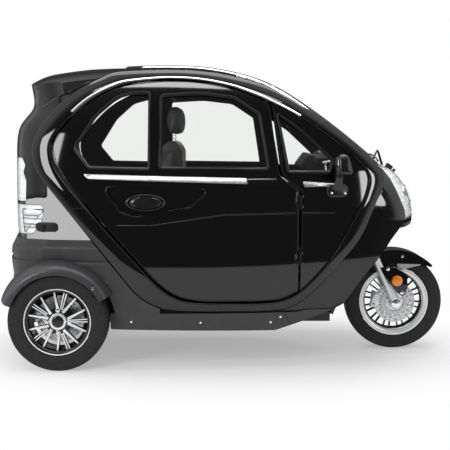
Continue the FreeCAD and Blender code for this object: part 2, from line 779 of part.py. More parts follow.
front_tyre = faceted_tyre("front_tyre", "front_tyre_radius", "front_tyre_width", "front_flange_radius")
front_rim = alloy_rim("front_rim", "front_tyre_width", "front_flange_radius", "52", 12, FRONT_BARS, 16, 8, -64, 64)
front_disc = turned("front_disc", [
    ("Sizes.spindle_radius + 2", "64"),
    ("Sizes.disc_radius * 0.62", "64"),
    ("Sizes.disc_radius * 0.62", "66"),
    ("Sizes.disc_radius", "66"),
    ("Sizes.disc_radius", "66 + Sizes.disc_wall"),
    ("Sizes.disc_radius * 0.55", "66 + Sizes.disc_wall"),
    ("Sizes.disc_radius * 0.55", "68"),
    ("Sizes.spindle_radius + 2", "68"),
])
for thing in (front_tyre, front_rim, front_disc):
    place(thing, "Sizes.wheelbase - Sizes.rear_axle_setback", "0", "Sizes.front_tyre_radius", FACE_RIGHT)
    keep(thing.Name, thing)

# Steering: everything lies on the raked axis, which passes behind the front axle
rake = math.radians(size["steering_rake"])
steer_up = Vector(-math.sin(rake), 0, math.cos(rake))
steer_ahead = Vector(math.cos(rake), 0, math.sin(rake))
front_hub = Vector(front_axle_x, 0, size["front_tyre_radius"])
steer_foot = front_hub - steer_ahead * size["fork_offset"]


def on_steering(up, ahead=0.0, side=0.0):
    return steer_foot + steer_up * up + steer_ahead * ahead + Vector(0, side, 0)


def on_rake(shape, up):
    """Shape about the origin, moved up the steering axis and leaned with it."""
    lean = Placement(on_steering(up), Rotation(Vector(0, 1, 0), -size["steering_rake"]))
    shape.Placement = lean.multiply(shape.Placement)
    return shape


pieces = []
leg_length = size["fork_leg_length"]
for sign in (-1, 1):
    side = sign * size["fork_spread"]
    foot = on_steering(-25, size["fork_offset"], side)
    pieces.append(Part.makeCylinder(size["fork_leg_radius"], leg_length + 25, foot, steer_up))
    pieces.append(Part.makeCylinder(26, 36, on_steering(0, size["fork_offset"], side - 18), Vector(0, 1, 0)))
    for up in (205, 262):
        inner = size["front_tyre_width"] / 2 + 10
        start = on_steering(up, size["fork_offset"], inner if sign > 0 else -size["fork_spread"])
        pieces.append(Part.makeCylinder(7, size["fork_spread"] - inner, start, Vector(0, 1, 0)))
spread = size["fork_spread"]
axle_end = on_steering(0, size["fork_offset"], -spread)
pieces.append(Part.makeCylinder(size["spindle_radius"], 2 * spread, axle_end, Vector(0, 1, 0)))
clamp = Part.makeBox(90, 2 * spread + 52, 26)
clamp.translate(Vector(-28, -spread - 26, 0))
pieces.append(on_rake(clamp, leg_length - 26))
stem_foot = on_steering(leg_length - 26)
stem = Part.makeCylinder(size["stem_radius"], size["stem_length"] - leg_length + 26, stem_foot, steer_up)
pieces.append(stem)
fork = pieces[0].fuse(pieces[1:]).removeSplitter()
keep_shape("front_fork", fork)

# Fender: a channel over the front tyre, cut off level above the axle
fender_outer = size["front_tyre_radius"] + size["fender_gap"] + size["fender_wall"]
fender_half = size["front_tyre_width"] / 2 + 10


def fender_drum(wall_size):
    """Drum over the front wheel, smaller by a wall on its rim and both its ends."""
    half = fender_half - wall_size
    return Part.makeCylinder(fender_outer - wall_size, 2 * half, front_hub - Vector(0, half, 0), Vector(0, 1, 0))


FENDER_CUT = [(1090, 452), (1030, 468), (880, 476), (790, 430), (650, 390), (640, 700), (1300, 700)]
fender = fender_drum(0).cut(fender_drum(size["fender_wall"])).common(prism(wire_of(FENDER_CUT), -300, 300))
keep_shape("front_fender", fender)

# Handlebar: a bent tube clamped on the stem
bar_height = size["stem_length"] - 15
centre = on_steering(bar_height, 30)
reach = size["handlebar_reach"]
route = [
    centre + Vector(-110, -reach, 25), centre + Vector(-30, -reach * 0.45, 25), centre + Vector(0, -55, 0),
    centre + Vector(0, 55, 0), centre + Vector(-30, reach * 0.45, 25), centre + Vector(-110, reach, 25),
]
runs = []
for start, end in zip(route, route[1:]):
    runs.append(Part.makeCylinder(size["grip_radius"], (end - start).Length, start, end - start))
    runs.append(Part.makeSphere(size["grip_radius"], end))
handle_tube = runs[0].fuse(runs[1:-1])
yoke = Part.makeCylinder(26, 30, on_steering(bar_height - 15), steer_up)
neck = Part.makeBox(50, 60, 30)
neck.translate(Vector(0, -30, 0))
pod = Part.makeBox(110, 190, 60)
pod.translate(Vector(-15, -95, 32))
fittings = [yoke, on_rake(neck, bar_height - 15), on_rake(pod, bar_height - 15)]
handlebar = handle_tube.fuse(fittings).cut(stem)
keep_shape("handlebar", handlebar)

# Chassis: two rails that kick up over the axle, cross members and the steering head on its neck
floor_z = size["floor_height"]
deck = size["deck_height"]
rail_size = size["rail_size"]
rail_y = size["rail_spread"]
RAIL = [
    (520, floor_z), (-560, floor_z, 20), (-628, deck, 60), (-1075, deck), (-1075, deck - rail_size),
    (-660, deck - rail_size, 90), (-598, floor_z - rail_size, 90), (520, floor_z - rail_size),
]
members = []
for side in (-rail_y, rail_y):
    members.append(prism(wire_of(RAIL), side - rail_size / 2, side + rail_size / 2))
for x, top in ((-1075, deck), (-720, deck), (-520, floor_z), (-100, floor_z), (200, floor_z), (470, floor_z)):
    members.append(block(x, x + rail_size, -rail_y, rail_y, top - rail_size, top))
head_radius = size["stem_radius"] + size["running_fit"] + size["head_wall"]
head = Part.makeCylinder(head_radius, size["head_length"], on_steering(size["head_start"]), steer_up)
neck_radius = 20
neck_top = on_steering(size["head_start"] + size["head_length"] * 0.72)


def neck_tube(radius, side):
    foot = Vector(475, side, floor_z - rail_size / 2)
    return Part.makeCylinder(radius, (neck_top - foot).Length, foot, neck_top - foot)


necks = [neck_tube(neck_radius, side) for side in (-150, 150)]
chassis = members[0].fuse(members[1:] + necks + [head])
bore = Part.makeCylinder(size["stem_radius"] + size["running_fit"], 900, on_steering(size["head_start"] - 30), steer_up)
keep_shape("chassis_frame", chassis.cut(bore))

# Floor pan with its raised rear deck and wheel housings
floor_wall = size["floor_wall"]
FLOOR = [
    (513.5, floor_z), (513.5, floor_z + floor_wall), (-520, floor_z + floor_wall), (-545, deck + floor_wall),
    (-1150, deck + floor_wall), (-1150, deck), (-557, deck), (-532, floor_z),
]
pan = prism(wire_of(FLOOR), -700, 700)
inboard = size["rear_track"] / 2 - size["rear_tyre_width"] / 2 - 18
for sign in (-1, 1):
    low_y, high_y = sorted((sign * inboard, sign * (inboard - 8)))
    pan = pan.fuse(block(-1085, -540, low_y, high_y, floor_z, deck))
axle_hole = Part.makeCylinder(60, 2000, Vector(rear_axle_x, -1000, size["rear_tyre_radius"]), Vector(0, 1, 0))
neck_holes = neck_tube(neck_radius + 2, -150).fuse(neck_tube(neck_radius + 2, 150))
pan = common_of(pan, between_sides(-wall - SEAT_GAP), before_bumper(-skin - SEAT_GAP))
pan = pan.cut(axle_hole).cut(neck_holes)
keep_shape("floor_pan", pan)

# Front bulkhead behind the front wheel, carried on under the nose
BULKHEAD = [
    (526, 250), (640, 555), (860, 692), (1000, 716), (1000, NOSE_FOOT), (852, 711), (630, 570), (514, 255),
]
bulkhead_zone = prism(wire_of(BULKHEAD), -700, 700)
bulkhead = common_of(bulkhead_zone, between_sides(-30 - SEAT_GAP))
head_hole = Part.makeCylinder(head_radius + SEAT_GAP, 900, on_steering(200), steer_up)
bulkhead = bulkhead.cut(head_hole).cut(block(560, 1100, -700, 700, 690, 760).cut(behind_nose(-1)))
keep_shape("front_bulkhead", bulkhead)

# Rear axle: beam, motor and gear case, with a spindle for each wheel
axle_z = size["rear_tyre_radius"]
half_track = size["rear_track"] / 2
beam_radius = size["beam_radius"]
beam_half = inboard - 14


def cross_bar(radius, y_from, y_to):
    return Part.makeCylinder(radius, y_to - y_from, Vector(rear_axle_x, y_from, axle_z), Vector(0, 1, 0))


axle_parts = [
    cross_bar(size["spindle_radius"], -half_track - 40, half_track + 40), cross_bar(88, 20, 130),
    cross_bar(80, -170, 20),
]
keep_shape("rear_axle", cross_bar(beam_radius, -beam_half, beam_half).fuse(axle_parts))

# Leaf springs: three leaves each, clamped on the axle and shackled to the rails
spring_z = axle_z + beam_radius
leaf = size["leaf_wall"]
LEAF_REACHES = (225, 165, 105)
spring_rise = 20


def leaf_arc(reach_from, reach_to, height):
    """Stretch of a leaf's curve, which rises towards its ends."""
    spots = []
    for along in (reach_from, (reach_from + reach_to) / 2, reach_to):
        rise = spring_rise * (along / LEAF_REACHES[0]) ** 2
        spots.append(Vector(rear_axle_x + along, 0, height + rise))
    return Part.Arc(*spots).toShape()


springs = []
for side in (-rail_y, rail_y):
    top_height = spring_z + leaf * len(LEAF_REACHES)
    runs = [leaf_arc(-LEAF_REACHES[0], LEAF_REACHES[0], top_height)]
    for number, reach in enumerate(LEAF_REACHES):
        low = top_height - leaf * (number + 1)
        if number + 1 < len(LEAF_REACHES):
            runs.append(leaf_arc(reach, LEAF_REACHES[number + 1], low))
            runs.append(leaf_arc(-LEAF_REACHES[number + 1], -reach, low))
        else:
            runs.append(leaf_arc(-reach, reach, low))
    for number, reach in enumerate(LEAF_REACHES):
        high = top_height - leaf * number
        for along in (-reach, reach):
            rise = spring_rise * (along / LEAF_REACHES[0]) ** 2
            top = Vector(rear_axle_x + along, 0, high + rise)
            runs.append(Part.LineSegment(top, top - Vector(0, 0, leaf)).toShape())
    stack = prism(Part.Wire(Part.__sortEdges__(runs)), side - 22, side + 22)
    hanger_z = spring_z + leaf * 2 + spring_rise
    hanger_top = deck - rail_size - SEAT_GAP
    rear_hanger = block(rear_axle_x - 225, rear_axle_x - 203, side - 14, side + 14, hanger_z, hanger_top)
    front_hanger = block(rear_axle_x + 190, rear_axle_x + 212, side - 14, side + 14, hanger_z, hanger_top)
    springs.append(stack.fuse([rear_hanger, front_hanger]).cut(chassis))
keep_shape("leaf_springs", Part.makeCompound(springs))
doc.recompute()

# Wheel flares: turned lips over the rear wheels
reach_y = size["flare_reach"]
lip = size["rear_tyre_radius"]
SECTION = [
    (-350, lip + 66), (-430, lip + 62), (-480, lip + 50), (-520, lip + 32), (-reach_y, lip + 18),
    (-reach_y - 2, lip - 10), (-reach_y + 4, lip - 10), (-reach_y + 6, lip + 14), (-516, lip + 25), (-478, lip + 42), (-430, lip + 54),
    (-350, lip + 58),
]
face = Part.Face(Part.makePolygon([Vector(rear_axle_x + r, y, axle_z) for y, r in SECTION + SECTION[:1]]))
face.rotate(Vector(rear_axle_x, 0, axle_z), Vector(0, 1, 0), -27)
flare = face.revolve(Vector(rear_axle_x, 0, axle_z), Vector(0, 1, 0), -133)
bumper_room = common_of(bumper_zone, between_sides(8 + SEAT_GAP), before_bumper(SEAT_GAP))
flare = flare.cut(bumper_room)
keep_pair("wheel_flare", flare)

# Mirrors on the front quarters: a base, a leaning arm and a rounded head
MIRROR_FOOT = Vector(528, -side_y(528, 892), 892)
MIRROR_HEAD = (524, 614, -175, -25, 977, 1073)


def mirror_shape():
    base = side_slab(8, SEAT_GAP).common(block(470, 585, -700, 0, 862, 912))
    arm = Part.makeCylinder(11, 118, MIRROR_FOOT, Vector(0.30, -0.55, 0.78)).cut(side_slab(SEAT_GAP, -wall))
    x_from, x_to, y_from, y_to, z_from, z_to = MIRROR_HEAD
    head = block(x_from, x_to, MIRROR_FOOT.y + y_from, MIRROR_FOOT.y + y_to, z_from, z_to)
    head = head.makeFillet(26, head.Edges)
    return base.fuse([arm, head])


keep_pair("mirror", mirror_shape())

# Charging port on the right rear quarter: two capped sockets on a plate
PORT = [(-960, 690, 20), (-960, 736, 20), (-848, 736, 20), (-848, 690, 20)]
port = side_slab(4, SEAT_GAP).common(prism(wire_of(PORT)))
for x in (-932, -876):
    port = port.fuse(Part.makeCylinder(17, 20, Vector(x, -side_y(x, 713) - 18, 713), Vector(0, 1, 0)))
port = port.cut(side_slab(SEAT_GAP, -wall))
keep_shape("charging_port", port)

# Seats, battery and dashboard
half = size["seat_half_width"]
top = size["seat_top"]
battery = block(-372, 220, -200, 200, floor_z + floor_wall, 500)
keep_shape("battery_box", battery)
cushion = block(-240.7, 240, -half, half, 500.3, top)
keep_shape("seat_cushion", cushion.makeFillet(28, [e for e in cushion.Edges]))
BACK = [(-241, 500.3), (-241, 640, 10), (-250, 1150, 50), (-360, 1150, 50), (-372, 500.3)]
back = prism(wire_of(BACK), -half, half)
for side in (-60, 60):
    back = back.fuse(Part.makeCylinder(6, 60, Vector(-290, side, 1100), Vector(0, 0, 1)))
keep_shape("seat_back", back)
rest = prism(wire_of([(-242, 1160.3, 30), (-244, 1320, 36), (-330, 1318, 36), (-332, 1160.3, 30)]), -130, 130)
keep_shape("headrest", rest)
bench = size["bench_half_width"]
deck_top = deck + floor_wall
BENCH = [
    (-540, deck_top + 0.3), (-540, size["bench_top"], 40), (-850, size["bench_top"] - 10, 10),
    (-890, 985, 40), (-990, 985, 40), (-960, deck_top + 0.3),
]
keep_shape("rear_bench", prism(wire_of(BENCH), -bench, bench))
DASH = [(640, 830, 20), (625, 930, 30), (700, 975, 30), (765, 975, 10), (765, 840, 20)]
keep_shape("dashboard", prism(wire_of(DASH), -500, 500).common(between_sides(-wall - SEAT_GAP)))

doc.recompute()

# Check every object, then write each part
for thing in doc.Objects:
    if "Invalid" in thing.State or "Error" in thing.State:
        raise RuntimeError("%s failed: %s" % (thing.Label, thing.State))
broken = [name for name, thing in NODES.items() if thing.Shape.isNull() or not thing.Shape.isValid()]
if broken:
    raise RuntimeError("no valid shape: " + ", ".join(broken))

os.makedirs("parts", exist_ok=True)
for name, thing in NODES.items():
    thing.Shape.exportStep("parts/%s.step" % name)
    print(name, len(thing.Shape.Solids), round(thing.Shape.Volume / 1000), "cm3")
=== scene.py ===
import json
import math

import bmesh
import bpy
from mathutils import Matrix, Vector
from mathutils.bvhtree import BVHTree
from mathutils.kdtree import KDTree

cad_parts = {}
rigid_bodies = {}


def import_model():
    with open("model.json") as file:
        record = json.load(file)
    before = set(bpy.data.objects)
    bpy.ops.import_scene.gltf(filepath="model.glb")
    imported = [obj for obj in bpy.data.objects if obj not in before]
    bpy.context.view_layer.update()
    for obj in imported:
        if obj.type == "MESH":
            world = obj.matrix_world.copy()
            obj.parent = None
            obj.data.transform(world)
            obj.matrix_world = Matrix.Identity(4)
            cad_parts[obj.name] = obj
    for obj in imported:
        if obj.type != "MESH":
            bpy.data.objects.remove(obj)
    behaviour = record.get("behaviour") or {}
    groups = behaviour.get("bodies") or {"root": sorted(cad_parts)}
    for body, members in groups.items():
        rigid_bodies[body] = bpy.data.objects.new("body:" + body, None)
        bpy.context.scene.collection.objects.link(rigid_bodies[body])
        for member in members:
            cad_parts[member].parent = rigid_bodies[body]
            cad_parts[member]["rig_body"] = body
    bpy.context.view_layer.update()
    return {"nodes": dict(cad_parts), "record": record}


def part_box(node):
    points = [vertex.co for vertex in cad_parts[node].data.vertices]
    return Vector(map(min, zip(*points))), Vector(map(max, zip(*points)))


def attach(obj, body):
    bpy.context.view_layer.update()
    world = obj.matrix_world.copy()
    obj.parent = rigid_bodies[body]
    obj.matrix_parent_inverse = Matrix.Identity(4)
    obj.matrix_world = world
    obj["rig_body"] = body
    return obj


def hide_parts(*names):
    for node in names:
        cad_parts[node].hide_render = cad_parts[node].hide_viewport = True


# Three wheeled electric car in black lacquer: finishes, trim, tyres, lamps and upholstery over
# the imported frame. Metres; +X is forward, +Y the car's left, +Z up, the ground is z = 0.

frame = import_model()
NODES = frame["nodes"]
MM = 0.001
SIDES = (("right", -1), ("left", 1))


# The body side is curved in plan and in section

HALF_WIDTH = 0.490
PLAN_RADIUS = 4.400
SECTION_RADIUS = 2.100
CREST_X = -0.276
CREST_Z = 0.700


def side_y(x, z, lift=0.0):
    """Half width of the car at a place on its side, with a lift off the surface."""
    reach = PLAN_RADIUS - SECTION_RADIUS + math.sqrt((SECTION_RADIUS + lift) ** 2 - (z - CREST_Z) ** 2)
    return math.sqrt(reach ** 2 - (x - CREST_X) ** 2) - (PLAN_RADIUS - HALF_WIDTH)


def on_side(x, z, lift, sign):
    return Vector((x, sign * side_y(x, z, lift), z))


def outward(x, z, sign):
    """Normal of the side surface."""
    step = 0.002
    along = on_side(x + step, z, 0, sign) - on_side(x - step, z, 0, sign)
    up = on_side(x, z + step, 0, sign) - on_side(x, z - step, 0, sign)
    return (along.cross(up) * (1 if sign < 0 else -1)).normalized()


def lift_of(spot):
    """How far a place stands off the side surface."""
    reach = math.hypot(abs(spot.y) + PLAN_RADIUS - HALF_WIDTH, spot.x - CREST_X)
    return math.hypot(reach - PLAN_RADIUS + SECTION_RADIUS, spot.z - CREST_Z) - SECTION_RADIUS


# Materials

NOISE = "ShaderNodeTexNoise"
CELLS = "ShaderNodeTexVoronoi"


def colour(text):
    """Linear colour of an sRGB hex value."""
    shares = [int(text[index:index + 2], 16) / 255 for index in (0, 2, 4)]
    linear = [share / 12.92 if share <= 0.04045 else ((share + 0.055) / 1.055) ** 2.4 for share in shares]
    return (*linear, 1.0)


def add_node(tree, kind, settings=None, links=None):
    """Shader node with its settings, and its inputs fed from other sockets."""
    node = tree.nodes.new(kind)
    for name, setting in (settings or {}).items():
        if isinstance(name, str) and hasattr(node, name):
            setattr(node, name, setting)
        else:
            node.inputs[name].default_value = setting
    for name, source in (links or {}).items():
        tree.links.new(source, node.inputs[name])
    return node


def mixed(tree, share, first, second):
    """Two shader nodes mixed by a share."""
    return add_node(tree, "ShaderNodeMixShader", {}, {"Fac": share, 1: first.outputs[0], 2: second.outputs[0]})


def shader_of(material):
    return material.node_tree.nodes["Principled BSDF"]


def pattern(tree, kind, size_mm, settings):
    """Texture of a real size, laid through the car."""
    place = add_node(tree, "ShaderNodeTexCoord")
    return add_node(tree, kind, {"Scale": 1000.0 / size_mm, **settings}, {"Vector": place.outputs["Object"]})


def add_relief(material, height, depth_mm):
    """Bumps of a real depth from the height that a pattern gives."""
    tree = material.node_tree
    bump = add_node(tree, "ShaderNodeBump", {"Strength": 1.0, "Distance": depth_mm * MM}, {"Height": height})
    tree.links.new(bump.outputs["Normal"], shader_of(material).inputs["Normal"])


def finish(name, tones, roughness, relief=None, tone_mm=60.0, kind=NOISE, detail=3.0, **sockets):
    """Material of one tone, or of two that wander into each other, with a relief of a size and depth in mm."""
    material = bpy.data.materials.new(name)
    material.use_nodes = True
    tree = material.node_tree
    shader = shader_of(material)
    shader.inputs["Roughness"].default_value = roughness
    for socket, setting in sockets.items():
        shader.inputs[socket.replace("_", " ")].default_value = setting
    if len(tones) == 1:
        shader.inputs["Base Color"].default_value = colour(tones[0])
    else:
        clouds = pattern(tree, NOISE, tone_mm, {"Detail": 4.0})
        ramp = add_node(tree, "ShaderNodeValToRGB", {}, {"Fac": clouds.outputs[0]})
        for element, place, tone in zip(ramp.color_ramp.elements, (0.25, 0.75), tones):
            element.position = place
            element.color = colour(tone)
        tree.links.new(ramp.outputs["Color"], shader.inputs["Base Color"])
    if relief:
        size_mm, depth_mm = relief
        bumps = pattern(tree, kind, size_mm, {"Detail": detail} if kind == NOISE else {})
        add_relief(material, bumps.outputs[0], depth_mm)
    return material


def glazing(name, tint, roughness=0.0, ior=1.5):
    """Clear pane that lets light through to what is behind it."""
    material = finish(name, [tint], roughness, IOR=ior, Transmission_Weight=1.0)
    tree = material.node_tree
    path = add_node(tree, "ShaderNodeLightPath")
    open_pane = add_node(tree, "ShaderNodeBsdfTransparent", {"Color": colour(tint)})
    shown = mixed(tree, path.outputs["Is Shadow Ray"], shader_of(material), open_pane)
    tree.links.new(shown.outputs[0], tree.nodes["Material Output"].inputs["Surface"])
    return material


# Two-coat car lacquer: mirror gloss with the faint ripple of sprayed paint
PAINT = finish("black_car_lacquer", ["060607"], 0.04, (9.0, 0.006), detail=1.0, IOR=1.5, Specular_IOR_Level=0.6)
# Injection moulded gloss ABS of the mirror heads and handles
GLOSS_ABS = finish("gloss_black_abs", ["151517"], 0.2, (5.0, 0.006), detail=1.0, IOR=1.53)
# Unpainted ABS with a spark-eroded grain, and frame enamel: dull and slightly uneven
GREY_ABS = finish("dark_grey_grained_abs", ["302f31", "383739"], 0.5, (1.6, 0.12), IOR=1.5)
FLARE_ABS = finish("satin_grey_abs", ["363638", "3e3e41"], 0.34, (2.2, 0.12), IOR=1.5)
BLACK_ABS = finish("black_grained_abs", ["0f0f10", "161617"], 0.5, (1.8, 0.12), IOR=1.5)
FRAME_ENAMEL = finish("black_frame_enamel", ["141415", "1b1b1c"], 0.38, (6.0, 0.12), IOR=1.5)
# Panes and lamp covers, clear to what is behind them
GLASS = glazing("safety_glass", "fefffe")
CLEAR = glazing("clear_polycarbonate", "f6f8f9", 0.01, 1.58)
# Bright screws and panes, satin trim, cast and turned alloy, ground brake discs
CHROME = finish("bright_chrome", ["eeeff1"], 0.1, Metallic=1.0)
SATIN_CHROME = finish("satin_chrome", ["e6e7ea"], 0.26, Metallic=1.0)
CAST_ALLOY = finish("silver_cast_aluminium", ["dcdee1"], 0.38, (2.0, 0.05), Metallic=1.0)
MACHINED = finish("lacquered_machined_alloy", ["f4f5f6"], 0.34, Metallic=0.6)
STEEL = finish("ground_steel", ["cccdd0"], 0.36, (1.2, 0.03), Metallic=1.0)
# Gloss enamel in the depth of the wheels
WHEEL_BLACK = finish("black_wheel_enamel", ["0d0d0e"], 0.22, (4.0, 0.02), Specular_IOR_Level=0.45)
# Carbon-black tread rubber: deep grey, dull, dusty in patches
TYRE = finish("tyre_rubber", ["181819", "252526"], 0.72, (1.2, 0.10), 25.0, IOR=1.52, Specular_IOR_Level=0.35)
# EPDM window and door seals: dense black with a soft sheen
SEAL = finish("epdm_seal_rubber", ["0c0c0d"], 0.36, (2.5, 0.05), Specular_IOR_Level=0.4)
# Polyurethane leather with a pebbled grain and a faint sheen on the crowns
LEATHER = finish("pu_seat_leather", ["131213", "1d1c1c"], 0.46, (2.6, 0.35), 90.0, CELLS,
                 Sheen_Weight=0.15, Sheen_Roughness=0.4)
# Acrylic reflectors moulded with corner cubes, which glint in their own colour
PRISMS = {"IOR": 1.49, "Coat_Weight": 0.6, "Coat_Roughness": 0.05}
AMBER = finish("amber_reflector_acrylic", ["f57a0c", "ffa028"], 0.2, (3.0, 0.25), 6.0, CELLS, **PRISMS)
RED = finish("red_reflector_acrylic", ["b3120c", "d8261a"], 0.2, (3.0, 0.25), 6.0, CELLS, **PRISMS)
# Smoked ribs that show dim behind a lamp's cover
LENS_GREY = finish("smoked_lens_ribs", ["8b8d92"], 0.3, (6.0, 0.05), Metallic=0.3)
# Vacuum-metallised plastic pressed in horizontal flutes 12 mm apart
FLUTED = finish("fluted_reflector", ["fcfdfd"], 0.3, Metallic=0.45)
WAVE_LENGTH = math.tau / 20
flutes = pattern(FLUTED.node_tree, "ShaderNodeTexWave", 2 * 12.0 / WAVE_LENGTH, {"bands_direction": "Z"})
add_relief(FLUTED, flutes.outputs[1], 3.0)


# Finishes of the frame's own pieces, and the record's slot that each finish belongs to

FINISH = {
    "gloss_black_paint": PAINT, "gloss_black_plastic": GLOSS_ABS, "matte_grey_plastic": GREY_ABS,
    "satin_grey_plastic": FLARE_ABS, "black_plastic": BLACK_ABS, "frame_paint": FRAME_ENAMEL,
    "glass": GLASS, "clear_lens": CLEAR, "tyre_rubber": TYRE, "cast_alloy": CAST_ALLOY,
    "steel": STEEL, "seat_leather": LEATHER,
}
SLOT = {material.name: slot for slot, material in FINISH.items()}
for slot, materials in (("steel", (CHROME, SATIN_CHROME)), ("cast_alloy", (MACHINED, WHEEL_BLACK)),
                        ("black_plastic", (SEAL,)), ("clear_lens", (AMBER, RED, LENS_GREY, FLUTED))):
    SLOT.update({material.name: slot for material in materials})
REPLACED = {"front_tyre", "front_rim", "front_disc", "seat_cushion", "seat_back", "headrest", "rear_bench"}
for side, sign in SIDES:
    REPLACED |= {name + side for name in ("side_ring_", "door_handle_", "rear_tyre_", "rear_rim_", "head_lamp_",
                                          "tail_lamp_", "mirror_")}


def new_piece(name, data, body, material):
    """Object at the origin that rides on a body and takes one finish."""
    piece = bpy.data.objects.new(name, data)
    bpy.context.scene.collection.objects.link(piece)
    data.materials.clear()
    data.materials.append(material)
    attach(piece, body)
    return piece


def body_of(node):
    return NODES[node]["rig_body"]


def merged_mesh(node, name):
    """Copy of a node's mesh with its loose triangles joined."""
    mesh = NODES[node].data.copy()
    mesh.name = name
    shape = bmesh.new()
    shape.from_mesh(mesh)
    bmesh.ops.remove_doubles(shape, verts=shape.verts, dist=0.02 * MM)
    shape.to_mesh(mesh)
    shape.free()
    return mesh


def shade(mesh, angle):
    """Smooth shading that stays crisp where faces meet at more than an angle in degrees."""
    mesh.shade_smooth()
    mesh.set_sharp_from_angle(angle=math.radians(angle))


def even_shading(piece):
    """Smooth shading over the curves, led by the large faces, and crisp at the edges."""
    shade(piece.data, SHARP)
    weights = piece.modifiers.new("even_shading", "WEIGHTED_NORMAL")
    weights.mode = "FACE_AREA"
    weights.weight = 60
    weights.keep_sharp = True


SIDE_NODES = ("door_", "front_quarter_", "rear_quarter_", "front_wing_", "sill_skirt_", "rear_door_glass_",
              "front_door_glass_", "fixed_glass_")
WIDE_NODES = ("rear_spoiler", "rear_panel", "nose_panel")
# Angles in degrees: of an edge that stays crisp, and of the faces that are averaged with a face or a flat
SHARP, BEND, FLAT_BEND = 26, 24, 65
NEAR = 0.035
# The rear corners: where their flat cut lies, and the height at which their foot begins to roll
CUT_Y = 0.346
ROLL_TOP = 0.885
ROLL_HEIGHT = 0.05
ROLLED = (-0.186, 0.960, 0.208)


def even_normals(mesh, flats=()):
    """Corner normals averaged by area over the near faces that bend little from each face.

    Flats are cut faces that take the form of what lies round them."""
    tree = KDTree(len(mesh.polygons))
    around = [[] for vert in mesh.vertices]
    faces = []
    for face in mesh.polygons:
        tree.insert(face.center, face.index)
        faces.append((face.normal.copy(), 1e-9 if face.index in flats else face.area))
        for index in face.vertices:
            around[index].append(face.index)
    tree.balance()
    near = []
    for vert in mesh.vertices:
        shares = {index: 0.1 for index in around[vert.index]}
        for spot, index, away in tree.find_range(vert.co, NEAR):
            shares[index] = 1.1 - away / NEAR
        near.append([(faces[index][0], faces[index][1] * share) for index, share in shares.items()])
    normals = [None] * len(mesh.loops)
    for face in mesh.polygons:
        own = faces[face.index][0]
        least = math.cos(math.radians(FLAT_BEND if face.index in flats else BEND))
        for loop in face.loop_indices:
            total = Vector()
            for normal, weight in near[mesh.loops[loop].vertex_index]:
                if normal.dot(own) > least:
                    total += normal * weight
            normals[loop] = total.normalized() if total.length else own
    return normals


def corner_turn(spot, normal):
    """Normal of the rear corner's foot, which is rolled so that it faces up and back."""
    share = min(1.0, max(0.0, (ROLL_TOP - spot.z) / ROLL_HEIGHT))
    rolled = Vector((ROLLED[0], math.copysign(ROLLED[1], spot.y), ROLLED[2]))
    return normal.lerp(rolled, share * share * (3 - 2 * share)).normalized()


def side_shading(piece):
    """Shading that follows the true curve of the side on every face that lies along it."""
    mesh = piece.data
    corner = piece.name.startswith("rear_quarter")
    shade(mesh, SHARP)
    if corner:
        flats = {face.index for face in mesh.polygons if abs(abs(face.center.y) - CUT_Y) < 0.004
                 and face.normal.y * face.center.y > 0 and abs(face.normal.y) > 0.96 and face.center.z > 1.1}
        normals = even_normals(mesh, flats=flats)
    else:
        normals = [item.vector.copy() for item in mesh.corner_normals]
    lifts = [lift_of(vert.co) for vert in mesh.vertices]
    for face in mesh.polygons:
        heights = [lifts[index] for index in face.vertices]
        side = 1 if face.center.y > 0 else -1
        along = outward(face.center.x, face.center.z, side)
        level = max(heights) - min(heights) < 0.0004 and abs(along.dot(face.normal)) > 0.95
        on_skin = level and not (corner and face.center.z > 0.90)
        facing_out = 1 if along.dot(face.normal) > 0 else -1
        for loop in face.loop_indices:
            spot = mesh.vertices[mesh.loops[loop].vertex_index].co
            if on_skin:
                normals[loop] = outward(spot.x, spot.z, side) * facing_out
            if corner and facing_out > 0 and face.normal.y * side > 0.8:
                normals[loop] = corner_turn(spot, normals[loop])
    mesh.normals_split_custom_set(normals)


def wide_shading(piece):
    """Shading evened out over a broad pressing."""
    shade(piece.data, SHARP)
    piece.data.normals_split_custom_set(even_normals(piece.data))


def smooth_skin(node, material):
    """Merged copy of a node, in its finish, that stands for it."""
    piece = new_piece(node + "_skin", merged_mesh(node, node + "_skin"), body_of(node), material)
    if node.startswith(SIDE_NODES):
        side_shading(piece)
    elif node in WIDE_NODES:
        wide_shading(piece)
    else:
        even_shading(piece)
    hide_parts(node)
    return piece


BUMPER_FOLDS = [(0.650, 0.607, 0.0070), (0.605, 0.541, 0.0075), (0.539, 0.434, 0.0050)]


def fold_depth(height):
    """Depth of the pressed folds of the rear bumper: each leans in downwards and steps out again."""
    for top, foot, depth in BUMPER_FOLDS:
        if foot <= height <= top:
            return depth * ((top - height) / (top - foot)) ** 1.7
    return 0.0


def fold_bumper(piece):
    """Folds pressed into the faces of the rear bumper that face outwards."""
    shape = bmesh.new()
    shape.from_mesh(piece.data)
    for top, foot, depth in BUMPER_FOLDS:
        for height in [foot - 0.002] + [foot + (top - foot) * step / 5 for step in range(5)]:
            bmesh.ops.bisect_plane(shape, geom=shape.verts[:] + shape.edges[:] + shape.faces[:], dist=1e-6,
                                   plane_co=(0, 0, height), plane_no=(0, 0, 1))
    shape.normal_update()
    moves = []
    for vert in shape.verts:
        level = Vector((vert.normal.x, vert.normal.y, 0))
        outer = level.dot(Vector((vert.co.x + 0.3, vert.co.y, 0))) > 0 and abs(vert.normal.z) < 0.35
        if outer:
            moves.append((vert, level.normalized() * fold_depth(vert.co.z)))
    for vert, move in moves:
        vert.co -= move
    shape.to_mesh(piece.data)
    shape.free()
    shade(piece.data, 20)


SKINS = {}
for entry in frame["record"]["subparts"]:
    if entry["node"] not in REPLACED:
        SKINS[entry["node"]] = smooth_skin(entry["node"], FINISH[entry["material_slot"]])
fold_bumper(SKINS["rear_bumper"])


TREES = {}


